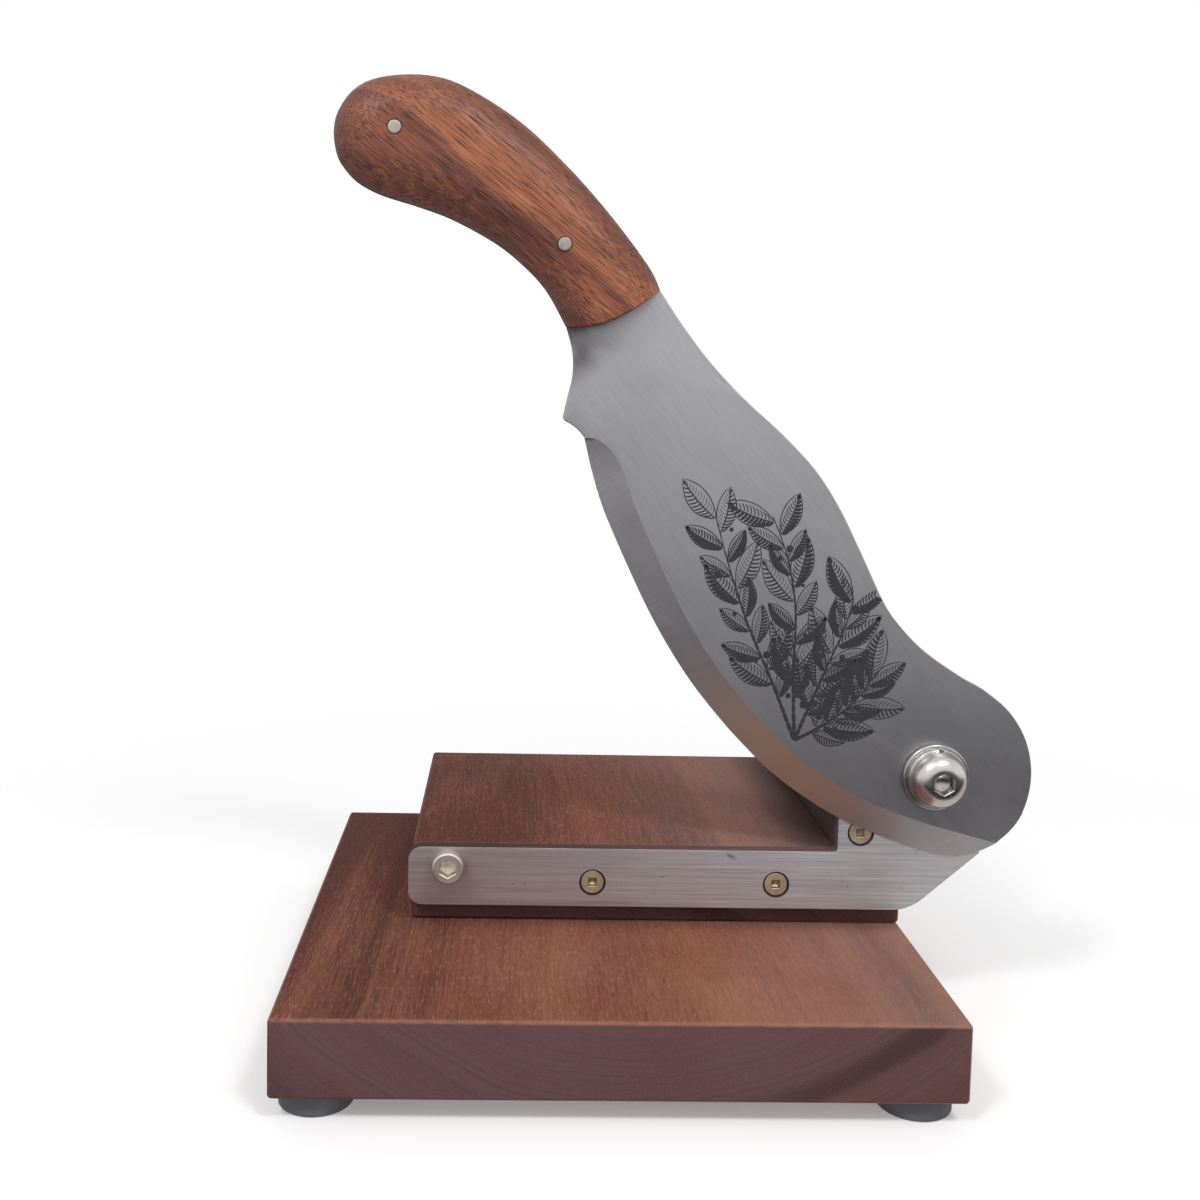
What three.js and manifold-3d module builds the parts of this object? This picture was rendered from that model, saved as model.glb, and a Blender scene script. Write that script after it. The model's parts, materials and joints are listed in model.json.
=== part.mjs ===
// Biltong cutter: a wooden base and cutting block, a steel side plate and a hinged lever blade.
// Millimetres, +Z up. The front, where the blade hangs, faces -Y. The blade stands raised.
import * as THREE from 'three';
import { mergeVertices } from 'three/addons/utils/BufferGeometryUtils.js';
import Module from 'manifold-3d';

const wasm = await Module();
wasm.setup();

// Driving dimensions: wood
const BASE_WIDTH = 190;
const BASE_DEPTH = 178;
const BASE_THICKNESS = 22.4;
const BLOCK_WIDTH = 157;
const BLOCK_DEPTH = 108.5;
const BLOCK_THICKNESS = 25;
const END_STOP_WIDTH = 22;
const WOOD_EDGE = 0.8;

// Driving dimensions: side plate
const PLATE_THICKNESS = 4;
const PLATE_BAR_HEIGHT = 19;
const PLATE_OVERHANG = 1;
const PLATE_CORNER_RADIUS = 4.5;
const PLATE_TOE_RADIUS = 6;
const EAR_INNER_RADIUS = 1;
const EAR_MARGIN = 17;
const EAR_TOE_RUN = 22;

// Driving dimensions: blade, its pivot and its stop
const PIVOT_OFFSET = 6.6;
const PIVOT_RISE = 26.2;
const OPEN_ANGLE = THREE.MathUtils.degToRad(52.5);
const BLADE_THICKNESS = 4;
const EDGE_THICKNESS = 0.5;
const BEVEL_WIDTH = 9.2;
const BEVEL_RUN_OUT = 15;
const BEVEL_HEEL_RUN_OUT = 30;
const BEVEL_HEEL_END = 5;
const HEEL_RADIUS = 30.8;
const STOP_INSET = 11.8;
const STOP_DROP = 5.2;
const NOTCH_LEAD = 1.5;
const NOTCH_LENGTH = 8.6;
const NOTCH_FALL = 2.3;
const NOTCH_RADIUS = 14;

// Driving dimensions: handle
const SCALE_THICKNESS = 8;
const SCALE_ROUND = 5;
const PIN_DIAMETER = 4;

// Driving dimensions: feet
const FOOT_DIAMETER = 21;
const FOOT_TAPER = 1;
const FOOT_HEIGHT = 6.5;
const FOOT_SIDE_INSET = 11.5;
const FOOT_END_INSET = 13.5;
const FOOT_FLOOR = 3;

// Driving dimensions: M10 pivot hardware
const BOLT_DIAMETER = 10;
const BOLT_HEAD_DIAMETER = 17.5;
const BOLT_HEAD_HEIGHT = 5.5;
const BOLT_HEX = 6;
const BOLT_HEAD_LAND = 0.7;
const BOLT_PROTRUSION = 1.5;
const WASHER_DIAMETER = 20.6;
const WASHER_THICKNESS = 2;
const SPRING_WASHER_DIAMETER = 18.4;
const SPRING_WASHER_THICKNESS = 2.2;
const SPRING_WASHER_SPLIT = 1.6;
const SPRING_WASHER_LEAN = THREE.MathUtils.degToRad(30);
const NUT_ACROSS_FLATS = 17;
const NUT_HEX_HEIGHT = 8;
const NUT_COLLAR_HEIGHT = 2.4;
const NUT_COLLAR_WALL = 1.3;
const INSERT_WALL = 0.9;

// Driving dimensions: M6 stop screw
const STOP_DIAMETER = 6;
const STOP_HEAD_DIAMETER = 10;
const STOP_HEAD_HEIGHT = 6;
const STOP_HEAD_CHAMFER = 0.6;
const STOP_HEX = 5;
const STOP_LENGTH = 16;

// Driving dimensions: wood screws
const PLATE_SCREW_HEAD = 7.6;
const PLATE_SCREW_SHANK = 4;
const PLATE_SCREW_LENGTH = 25;
const PLATE_SCREW_SINK = 0.4;
const PLATE_SCREW_FIRST = 57.4;
const PLATE_SCREW_SPACING = 58.5;
const PLATE_SCREW_RISE = 7.9;
const EAR_SCREW_INSET = 7.4;
const EAR_SCREW_RISE = 6;
const SQUARE_DRIVE = 2.7;
const SCREW_RIM = 0.45;
const BLOCK_SCREW_HEAD = 9;
const BLOCK_SCREW_SHANK = 5;
const BLOCK_SCREW_BITE = 16;
const BLOCK_SCREW_LEFT_INSET = 25;
const BLOCK_SCREW_RIGHT_INSET = 45;
const BLOCK_SCREW_BACK_INSET = 20;
const END_STOP_SCREW_HEAD = 8;
const END_STOP_SCREW_SHANK = 4;
const END_STOP_SCREW_BITE = 10;
const END_STOP_SCREW_BACK_INSET = 27;
const FOOT_SCREW_HEAD = 7.6;
const FOOT_SCREW_HEAD_HEIGHT = 2;
const FOOT_SCREW_SHANK = 4;
const FOOT_SCREW_BITE = 14;
const FOOT_WASHER_DIAMETER = 9;
const FOOT_WASHER_THICKNESS = 0.8;

// Clearances
const FIT = 0.3;
const RUNNING_GAP = 0.3;
const STOP_GAP = 0.4;
const NUT_ROOM = 1;
const SCREW_ROOM = 12;

// Places that follow from the driving dimensions, with X from the base's left end,
// Y from its front face and Z from its underside
const blockLeft = BASE_WIDTH - BLOCK_WIDTH;
const blockFront = BASE_DEPTH - BLOCK_DEPTH;
const blockTop = BASE_THICKNESS + BLOCK_THICKNESS;
const plateFront = blockFront - PLATE_THICKNESS;
const plateLeft = blockLeft - PLATE_OVERHANG;
const plateBottom = blockTop - PLATE_BAR_HEIGHT;
const earLeft = BASE_WIDTH - END_STOP_WIDTH;
const pivotX = BASE_WIDTH + PIVOT_OFFSET;
const pivotZ = blockTop + PIVOT_RISE;
const stopX = blockLeft + STOP_INSET;
const stopZ = blockTop - STOP_DROP;
const endStopHeight = PIVOT_RISE - WASHER_DIAMETER / 2 - NUT_ROOM;
const bladeMiddle = plateFront - RUNNING_GAP - BLADE_THICKNESS / 2;
const frontWasherBack = plateFront - 2 * RUNNING_GAP - BLADE_THICKNESS;
const springWasherBack = frontWasherBack - WASHER_THICKNESS;
const boltHeadBack = springWasherBack - SPRING_WASHER_THICKNESS;
const nutFront = blockFront + WASHER_THICKNESS;
const nutBack = nutFront + NUT_HEX_HEIGHT + NUT_COLLAR_HEIGHT;
const boltLength = nutBack + BOLT_PROTRUSION - boltHeadBack;
const screwDepth = plateFront + PLATE_SCREW_SINK + PLATE_SCREW_LENGTH;
const notchX = stopX - pivotX + NOTCH_LEAD;
const notchZ = stopZ - pivotZ + STOP_HEAD_DIAMETER / 2 + STOP_GAP;

// How far a cutting tool runs past the face that it opens, and shares of a head's height
const PAST = 1;
const RECESS_SHARE = 0.7;
const SOCKET_SHARE = 0.55;

const ROUND_SEGMENTS = 24;
const SCREW_SEGMENTS = 12;
const CURVE_STEPS = 48;
const GRIP_STEPS = 64;
const SPINE_STEPS = 36;
const HEEL_STEPS = 24;
const NECK_STEPS = 10;
const NOTCH_STEPS = 6;
const DOME_STEPS = 5;
const GRIP_ROUND_STEPS = 4;

// Finishes
const finish = (color, roughness, metalness) =>
  new THREE.MeshStandardMaterial({ color, roughness, metalness });
const stainedWood = finish(0x6e443a, 0.5, 0);
const handleWood = finish(0x875444, 0.4, 0);
const brushedSteel = finish(0x9a989b, 0.35, 1);
const bladeSteel = finish(0x96959a, 0.3, 1);
const brightSteel = finish(0xb4b2b0, 0.2, 1);
const yellowZinc = finish(0x927a66, 0.35, 1);
const blackRubber = finish(0x2c2c2f, 0.8, 0);
const whiteNylon = finish(0xd8d4c8, 0.5, 0);

// A closed solid from a geometry: shared corners merged, empty triangles dropped, faces outward
function toSolid(geometry) {
  const bare = geometry.clone();
  bare.deleteAttribute('normal');
  bare.deleteAttribute('uv');
  const merged = mergeVertices(bare, 1e-4);
  const corners = [];
  for (let i = 0; i < merged.index.count; i += 3) {
    const [a, b, c] = [0, 1, 2].map((k) => merged.index.getX(i + k));
    if (a !== b && b !== c && c !== a) corners.push(a, b, c);
  }
  const build = (triVerts) => new wasm.Manifold(new wasm.Mesh({
    numProp: 3,
    vertProperties: new Float32Array(merged.attributes.position.array),
    triVerts: new Uint32Array(triVerts),
  }));
  const solid = build(corners);
  return solid.volume() > 0 ? solid : build(corners.reverse());
}

function toGeometry(solid) {
  const { vertProperties, triVerts } = solid.getMesh();
  const geometry = new THREE.BufferGeometry();
  geometry.setAttribute('position', new THREE.BufferAttribute(vertProperties, 3));
  geometry.setIndex(new THREE.BufferAttribute(triVerts, 1));
  geometry.computeVertexNormals();
  return geometry;
}

function cut(geometry, tools) {
  const solid = tools.reduce((rest, tool) => rest.subtract(toSolid(tool)), toSolid(geometry));
  return toGeometry(solid);
}

function join(first, second) {
  return toGeometry(toSolid(first).add(toSolid(second)));
}

// A shape drawn in X and Z, as a slab from frontY to backY
function slab(shape, frontY, backY, options = {}) {
  const settings = { depth: backY - frontY, bevelEnabled: false, curveSegments: 8, ...options };
  return new THREE.ExtrudeGeometry(shape, settings).rotateX(Math.PI / 2).translate(0, backY, 0);
}

// A board with slightly broken edges, from its lowest to its highest corner
function board(low, high) {
  const shape = new THREE.Shape();
  const edge = WOOD_EDGE;
  shape.moveTo(low[0] + edge, low[1]);
  shape.lineTo(high[0] - edge, low[1]);
  shape.lineTo(high[0], low[1] + edge);
  shape.lineTo(high[0], high[1] - edge);
  shape.lineTo(high[0] - edge, high[1]);
  shape.lineTo(low[0] + edge, high[1]);
  shape.lineTo(low[0], high[1] - edge);
  shape.lineTo(low[0], low[1] + edge);
  const bevel = { bevelThickness: edge, bevelSize: edge, bevelOffset: -edge, bevelSegments: 1 };
  const depth = high[2] - low[2] - 2 * edge;
  return new THREE.ExtrudeGeometry(shape, { depth, ...bevel }).translate(0, 0, low[2] + edge);
}

// A round bar along Y; sides of 4 or 6 give a square or hexagonal one
function barY(radius, fromY, toY, sides = ROUND_SEGMENTS) {
  const turn = sides === 4 ? Math.PI / 4 : 0;
  const bar = new THREE.CylinderGeometry(radius, radius, toY - fromY, sides);
  return bar.rotateY(turn).translate(0, (fromY + toY) / 2, 0);
}

const hexRadius = (acrossFlats) => acrossFlats / Math.sqrt(3);
const squareRadius = (side) => side / Math.SQRT2;

// A turned piece about Y from a profile of [radius, y] pairs
function turned(profile, sides = ROUND_SEGMENTS) {
  return new THREE.LatheGeometry(profile.map(([r, y]) => new THREE.Vector2(r, y)), sides);
}

function ring(innerRadius, outerRadius, fromY, toY, sides = ROUND_SEGMENTS) {
  return turned([
    [innerRadius, fromY], [outerRadius, fromY], [outerRadius, toY], [innerRadius, toY], [innerRadius, fromY],
  ], sides);
}

// A countersunk wood screw along +Y, its flat head at y = 0
function woodScrew(head, shank, length) {
  const cone = (head - shank) / 2;
  const body = turned([
    [0, 0], [head / 2, 0], [head / 2, SCREW_RIM], [shank / 2, SCREW_RIM + cone],
    [shank / 2, length - shank], [0, length],
  ], SCREW_SEGMENTS);
  const recess = barY(squareRadius(SQUARE_DRIVE), -PAST, SCREW_RIM + cone * RECESS_SHARE, 4);
  return cut(body, [recess]);
}

// The hole that such a screw sits in, with its countersink open to the front
function woodScrewHole(head, shank, length) {
  const cone = (head - shank) / 2;
  const outer = head / 2 + FIT;
  const inner = shank / 2 + FIT;
  return turned([
    [0, -PLATE_THICKNESS], [outer, -PLATE_THICKNESS], [outer, SCREW_RIM + FIT],
    [inner, SCREW_RIM + cone + FIT], [inner, length + FIT], [0, length + FIT],
  ], SCREW_SEGMENTS);
}

// Stands a piece that was drawn along +Y on end, so that it runs along +Z
const onEnd = (geometry) => geometry.rotateX(Math.PI / 2);

const assembly = new THREE.Group();
assembly.position.set(-(pivotX + HEEL_RADIUS) / 2, -BASE_DEPTH / 2, FOOT_HEIGHT);

function addTo(group, name, geometry, material) {
  const mesh = new THREE.Mesh(geometry, material);
  mesh.name = name;
  group.add(mesh);
  return mesh;
}

// Screw places
const plateScrews = [
  { name: 'plate_screw_left', x: blockLeft + PLATE_SCREW_FIRST, z: plateBottom + PLATE_SCREW_RISE },
  {
    name: 'plate_screw_right',
    x: blockLeft + PLATE_SCREW_FIRST + PLATE_SCREW_SPACING,
    z: plateBottom + PLATE_SCREW_RISE,
  },
  { name: 'ear_screw', x: earLeft + EAR_SCREW_INSET, z: blockTop + EAR_SCREW_RISE },
];
const blockScrewFrontY = screwDepth + SCREW_ROOM;
const blockScrewBackY = BASE_DEPTH - BLOCK_SCREW_BACK_INSET;
const blockScrewLeftX = blockLeft + BLOCK_SCREW_LEFT_INSET;
const blockScrewRightX = BASE_WIDTH - BLOCK_SCREW_RIGHT_INSET;
const blockScrews = [
  { name: 'block_screw_front_left', x: blockScrewLeftX, y: blockScrewFrontY },
  { name: 'block_screw_front_right', x: blockScrewRightX, y: blockScrewFrontY },
  { name: 'block_screw_back_left', x: blockScrewLeftX, y: blockScrewBackY },
  { name: 'block_screw_back_right', x: blockScrewRightX, y: blockScrewBackY },
];
const endStopMiddle = BASE_WIDTH - END_STOP_WIDTH / 2;
const endStopScrews = [
  { name: 'end_stop_screw_front', x: endStopMiddle, y: screwDepth + SCREW_ROOM },
  { name: 'end_stop_screw_back', x: endStopMiddle, y: BASE_DEPTH - END_STOP_SCREW_BACK_INSET },
];
const feet = [
  { name: 'front_left', x: FOOT_SIDE_INSET, y: FOOT_END_INSET },
  { name: 'front_right', x: BASE_WIDTH - FOOT_SIDE_INSET, y: FOOT_END_INSET },
  { name: 'back_left', x: FOOT_SIDE_INSET, y: BASE_DEPTH - FOOT_END_INSET },
  { name: 'back_right', x: BASE_WIDTH - FOOT_SIDE_INSET, y: BASE_DEPTH - FOOT_END_INSET },
];

const blockScrewLength = BASE_THICKNESS + BLOCK_SCREW_BITE - PLATE_SCREW_SINK;
const endStopScrewLength = BLOCK_THICKNESS + END_STOP_SCREW_BITE - PLATE_SCREW_SINK;

// Tools for the holes that each set of screws needs, in the assembly's frame
const plateScrewHoles = plateScrews.map(({ x, z }) =>
  woodScrewHole(PLATE_SCREW_HEAD, PLATE_SCREW_SHANK, PLATE_SCREW_LENGTH)
    .translate(x, plateFront + PLATE_SCREW_SINK, z));
const blockScrewHoles = blockScrews.map(({ x, y }) =>
  onEnd(woodScrewHole(BLOCK_SCREW_HEAD, BLOCK_SCREW_SHANK, blockScrewLength))
    .translate(x, y, PLATE_SCREW_SINK));
const endStopScrewHoles = endStopScrews.map(({ x, y }) =>
  onEnd(woodScrewHole(END_STOP_SCREW_HEAD, END_STOP_SCREW_SHANK, endStopScrewLength))
    .translate(x, y, BASE_THICKNESS + PLATE_SCREW_SINK));
const footScrewHoles = feet.map(({ x, y }) =>
  onEnd(barY(FOOT_SCREW_SHANK / 2 + FIT, -PAST, FOOT_SCREW_BITE + FIT, SCREW_SEGMENTS)).translate(x, y, 0));
const stopHoleBack = plateFront + STOP_LENGTH + FIT;
const stopHole = barY(STOP_DIAMETER / 2 + FIT, plateFront - PAST, stopHoleBack, SCREW_SEGMENTS)
  .translate(stopX, 0, stopZ);

// Base board, cutting block and end stop
const baseBoard = board([0, 0, 0], [BASE_WIDTH, BASE_DEPTH, BASE_THICKNESS]);
addTo(assembly, 'base_board', cut(baseBoard, [...blockScrewHoles, ...footScrewHoles]), stainedWood);

const cuttingBlock = board(
  [blockLeft, blockFront, BASE_THICKNESS], [BASE_WIDTH, BASE_DEPTH, blockTop],
);
const blockCuts = [...blockScrewHoles, ...endStopScrewHoles, ...plateScrewHoles, stopHole];
addTo(assembly, 'cutting_block', cut(cuttingBlock, blockCuts), stainedWood);

const endStop = board([earLeft, blockFront, blockTop], [BASE_WIDTH, BASE_DEPTH, blockTop + endStopHeight]);
addTo(assembly, 'end_stop', cut(endStop, [...endStopScrewHoles, ...plateScrewHoles]), stainedWood);

// Side plate: a bar along the block and an ear that carries the pivot
function plateOutline() {
  const shape = new THREE.Shape();
  const corner = PLATE_CORNER_RADIUS;
  const earRight = pivotX + EAR_MARGIN;
  const earTop = pivotZ + EAR_MARGIN;
  const toe = new THREE.Vector2(earRight - EAR_TOE_RUN, plateBottom);
  const hip = new THREE.Vector2(earRight, blockTop);
  const slope = hip.clone().sub(toe).normalize().multiplyScalar(PLATE_TOE_RADIUS);
  shape.moveTo(plateLeft + corner, plateBottom);
  shape.lineTo(toe.x - PLATE_TOE_RADIUS, plateBottom);
  shape.quadraticCurveTo(toe.x, toe.y, toe.x + slope.x, toe.y + slope.y);
  shape.lineTo(hip.x, hip.y);
  shape.lineTo(earRight, pivotZ);
  shape.absarc(pivotX, pivotZ, EAR_MARGIN, 0, Math.PI / 2, false);
  shape.lineTo(earLeft + corner, earTop);
  shape.absarc(earLeft + corner, earTop - corner, corner, Math.PI / 2, Math.PI, false);
  shape.lineTo(earLeft, blockTop + EAR_INNER_RADIUS);
  const innerX = earLeft - EAR_INNER_RADIUS;
  shape.absarc(innerX, blockTop + EAR_INNER_RADIUS, EAR_INNER_RADIUS, 0, -Math.PI / 2, true);
  shape.lineTo(plateLeft + corner, blockTop);
  shape.absarc(plateLeft + corner, blockTop - corner, corner, Math.PI / 2, Math.PI, false);
  shape.lineTo(plateLeft, plateBottom + corner);
  shape.absarc(plateLeft + corner, plateBottom + corner, corner, Math.PI, Math.PI * 1.5, false);
  return shape;
}

const boreRadius = BOLT_DIAMETER / 2 + FIT;
const pivotHole = barY(boreRadius, plateFront - PAST, blockFront + PAST).translate(pivotX, 0, pivotZ);
const plateSlab = slab(plateOutline(), plateFront, blockFront);
addTo(assembly, 'side_plate', cut(plateSlab, [...plateScrewHoles, stopHole, pivotHole]), brushedSteel);

// Screws
for (const { name, x, z } of plateScrews) {
  const screw = woodScrew(PLATE_SCREW_HEAD, PLATE_SCREW_SHANK, PLATE_SCREW_LENGTH);
  addTo(assembly, name, screw, yellowZinc).position.set(x, plateFront + PLATE_SCREW_SINK, z);
}
for (const { name, x, y } of blockScrews) {
  const screw = onEnd(woodScrew(BLOCK_SCREW_HEAD, BLOCK_SCREW_SHANK, blockScrewLength));
  addTo(assembly, name, screw, yellowZinc).position.set(x, y, PLATE_SCREW_SINK);
}
for (const { name, x, y } of endStopScrews) {
  const screw = onEnd(woodScrew(END_STOP_SCREW_HEAD, END_STOP_SCREW_SHANK, endStopScrewLength));
  addTo(assembly, name, screw, yellowZinc).position.set(x, y, BASE_THICKNESS + PLATE_SCREW_SINK);
}

// Feet: a rubber cup, the steel washer in it and the screw that holds both
function footCup() {
  const bore = FOOT_SCREW_SHANK / 2 + FIT;
  const cup = FOOT_WASHER_DIAMETER / 2 + FIT;
  const top = FOOT_DIAMETER / 2;
  const low = top - FOOT_TAPER;
  return turned([
    [bore, 0], [bore, -FOOT_FLOOR], [cup, -FOOT_FLOOR], [cup, -FOOT_HEIGHT],
    [low - FOOT_TAPER, -FOOT_HEIGHT], [low, FOOT_TAPER - FOOT_HEIGHT], [top, 0], [bore, 0],
  ]);
}

function footScrew() {
  const seat = -FOOT_FLOOR - FOOT_WASHER_THICKNESS;
  const head = FOOT_SCREW_HEAD / 2;
  const shank = FOOT_SCREW_SHANK / 2;
  const face = seat - FOOT_SCREW_HEAD_HEIGHT;
  const body = turned([
    [0, face], [head * RECESS_SHARE, face], [head, face + FOOT_SCREW_HEAD_HEIGHT / 2], [head, seat],
    [shank, seat], [shank, FOOT_SCREW_BITE - FOOT_SCREW_SHANK], [0, FOOT_SCREW_BITE],
  ], SCREW_SEGMENTS);
  const recessEnd = face + FOOT_SCREW_HEAD_HEIGHT * RECESS_SHARE;
  const recess = barY(squareRadius(SQUARE_DRIVE), face - PAST, recessEnd, 4);
  return cut(body, [recess]);
}

const footWasher = () => ring(
  FOOT_SCREW_SHANK / 2 + FIT, FOOT_WASHER_DIAMETER / 2,
  -FOOT_FLOOR - FOOT_WASHER_THICKNESS, -FOOT_FLOOR, SCREW_SEGMENTS,
);

for (const { name, x, y } of feet) {
  addTo(assembly, `foot_${name}`, onEnd(footCup()), blackRubber).position.set(x, y, 0);
  addTo(assembly, `foot_washer_${name}`, onEnd(footWasher()), brightSteel).position.set(x, y, 0);
  addTo(assembly, `foot_screw_${name}`, onEnd(footScrew()), yellowZinc).position.set(x, y, 0);
}

// Stop screw: a socket cap screw that the blade's notch comes down on
function stopScrew() {
  const head = STOP_HEAD_DIAMETER / 2;
  const chamfer = STOP_HEAD_CHAMFER;
  const body = turned([
    [0, -STOP_HEAD_HEIGHT], [head - chamfer, -STOP_HEAD_HEIGHT], [head, chamfer - STOP_HEAD_HEIGHT],
    [head, 0], [STOP_DIAMETER / 2, 0], [STOP_DIAMETER / 2, STOP_LENGTH], [0, STOP_LENGTH],
  ]);
  const socketEnd = (SOCKET_SHARE - 1) * STOP_HEAD_HEIGHT;
  const socket = barY(hexRadius(STOP_HEX), -STOP_HEAD_HEIGHT - PAST, socketEnd, 6);
  return cut(body, [socket]);
}
addTo(assembly, 'stop_screw', stopScrew(), brightSteel).position.set(stopX, plateFront, stopZ);

// Pivot: button head bolt, spring washer, two flat washers and a lock nut with its insert
function pivotBolt() {
  const rimRadius = BOLT_HEAD_DIAMETER / 2;
  const flatRadius = hexRadius(BOLT_HEX) + BOLT_HEAD_LAND;
  const dome = Array.from({ length: DOME_STEPS + 1 }, (_, k) => {
    const turn = (k / DOME_STEPS) * (Math.PI / 2);
    const spread = (rimRadius - flatRadius) * Math.sin(turn);
    return [flatRadius + spread, -BOLT_HEAD_HEIGHT * Math.cos(turn)];
  });
  const body = turned([
    [0, -BOLT_HEAD_HEIGHT], ...dome,
    [BOLT_DIAMETER / 2, 0], [BOLT_DIAMETER / 2, boltLength], [0, boltLength],
  ]);
  const socketEnd = (SOCKET_SHARE - 1) * BOLT_HEAD_HEIGHT;
  const socket = barY(hexRadius(BOLT_HEX), -BOLT_HEAD_HEIGHT - PAST, socketEnd, 6);
  return cut(body, [socket]);
}

function springWasher() {
  const whole = ring(boreRadius, SPRING_WASHER_DIAMETER / 2, 0, SPRING_WASHER_THICKNESS);
  const reach = SPRING_WASHER_DIAMETER;
  const slot = new THREE.BoxGeometry(SPRING_WASHER_SPLIT, 4 * SPRING_WASHER_THICKNESS, reach);
  slot.rotateZ(SPRING_WASHER_LEAN).translate(0, SPRING_WASHER_THICKNESS / 2, reach / 2);
  return cut(whole, [slot]);
}

function lockNut() {
  const collarRadius = NUT_ACROSS_FLATS / 2 - FIT;
  const hex = barY(hexRadius(NUT_ACROSS_FLATS), 0, NUT_HEX_HEIGHT, 6);
  const collar = barY(collarRadius, NUT_HEX_HEIGHT - PAST, NUT_HEX_HEIGHT + NUT_COLLAR_HEIGHT);
  const pocket = barY(
    collarRadius - NUT_COLLAR_WALL, NUT_HEX_HEIGHT, NUT_HEX_HEIGHT + NUT_COLLAR_HEIGHT + PAST,
  );
  return cut(join(hex, collar), [pocket, barY(boreRadius, -PAST, NUT_HEX_HEIGHT + PAST)]);
}

const flatWasher = () => ring(boreRadius, WASHER_DIAMETER / 2, 0, WASHER_THICKNESS);
const insertRing = () => ring(boreRadius, boreRadius + INSERT_WALL, 0, NUT_COLLAR_HEIGHT);

addTo(assembly, 'pivot_bolt', pivotBolt(), brightSteel).position.set(pivotX, boltHeadBack, pivotZ);
addTo(assembly, 'pivot_spring_washer', springWasher(), brightSteel)
  .position.set(pivotX, boltHeadBack, pivotZ);
addTo(assembly, 'pivot_washer_front', flatWasher(), brightSteel)
  .position.set(pivotX, springWasherBack, pivotZ);
addTo(assembly, 'pivot_washer_rear', flatWasher(), brightSteel).position.set(pivotX, blockFront, pivotZ);
addTo(assembly, 'pivot_lock_nut', lockNut(), brightSteel).position.set(pivotX, nutFront, pivotZ);
addTo(assembly, 'lock_nut_insert', insertRing(), whiteNylon)
  .position.set(pivotX, nutFront + NUT_HEX_HEIGHT, pivotZ);

// Blade outline, drawn closed about the pivot: x runs left to the handle, z up to the spine.
// Spine and edge points give the share of the way from the pivot to the notch, and the height.
const SPINE = [
  [1.065, 18.2], [0.972, 18.5], [0.872, 20.4], [0.766, 23.6], [0.666, 25.4], [0.573, 24.6], [0.466, 21.8],
  [0.36, 18.8], [0.296, 18.7], [0.226, 20.3], [0.14, 24.7], [0.091, 28],
];
const EDGE = [
  [0.937, -30.1], [0.864, -34], [0.785, -36.9], [0.705, -39.5], [0.623, -41.8], [0.537, -43.4],
  [0.445, -44.1], [0.348, -43.5], [0.278, -42.4], [0.216, -41], [0.133, -37.6], [0.041, -32.2],
];
// The edge's last stretch under the heel, in shares of the heel radius
const EDGE_HEEL = [
  [0.166, -0.838], [0.458, -0.649], [0.709, -0.463], [0.846, -0.333], [0.925, -0.215], [0.966, -0.09],
  [0.966, 0.02], [0.955, 0.125],
];
// The grip from its lower end round the butt to its upper end, measured from the notch
const GRIP = [
  [-30.8, 15.5], [-42.8, 17], [-52.8, 16], [-63.8, 13], [-76.8, 6.9], [-86, 0.9], [-95.3, -6],
  [-101.8, -9.4], [-106.8, -10.5], [-111.8, -10.1], [-118.1, -6.8], [-122.6, -1.5], [-124.7, 6.8],
  [-122.2, 15.6], [-114.9, 26.1], [-105.5, 33.1], [-87.7, 40.2], [-67.8, 44], [-48.8, 45.8],
  [-30.8, 46.1], [-22.8, 44.8],
];
const NECK = [[-23.8, 12.7], [-17.8, 8.4], [-12.8, 2.6]];
const GRIP_END_BULGE = [-21.3, 24];
const PIN_PLACES = [['handle_pin_butt', -107.2, 8.5], ['handle_pin_neck', -50.3, 28.8]];
const HEEL_START = THREE.MathUtils.degToRad(102);
const HEEL_END = THREE.MathUtils.degToRad(16);

const fromNotch = ([dx, dz]) => new THREE.Vector2(notchX + dx, notchZ + dz);
const alongReach = ([share, z]) => new THREE.Vector2(share * notchX, z);
const onHeel = (angle) =>
  new THREE.Vector2(Math.cos(angle), Math.sin(angle)).multiplyScalar(HEEL_RADIUS);
const spline = (points, steps) => new THREE.SplineCurve(points).getSpacedPoints(steps);

const gripPoints = spline(GRIP.map(fromNotch), GRIP_STEPS);
const notchPoint = new THREE.Vector2(notchX, notchZ);
const spurTip = fromNotch([-NOTCH_LENGTH, -NOTCH_FALL]);

// A hollow arc from the spur to the notch
function notchArc() {
  const chord = notchPoint.clone().sub(spurTip);
  const middle = spurTip.clone().add(notchPoint).multiplyScalar(0.5);
  const depth = Math.sqrt(NOTCH_RADIUS ** 2 - chord.lengthSq() / 4);
  const outward = new THREE.Vector2(chord.y, -chord.x).normalize();
  const centre = middle.add(outward.multiplyScalar(depth));
  const from = spurTip.clone().sub(centre).angle();
  const to = notchPoint.clone().sub(centre).angle();
  const arc = new THREE.EllipseCurve(centre.x, centre.y, NOTCH_RADIUS, NOTCH_RADIUS, from, to, true);
  return arc.getPoints(NOTCH_STEPS);
}

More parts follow.
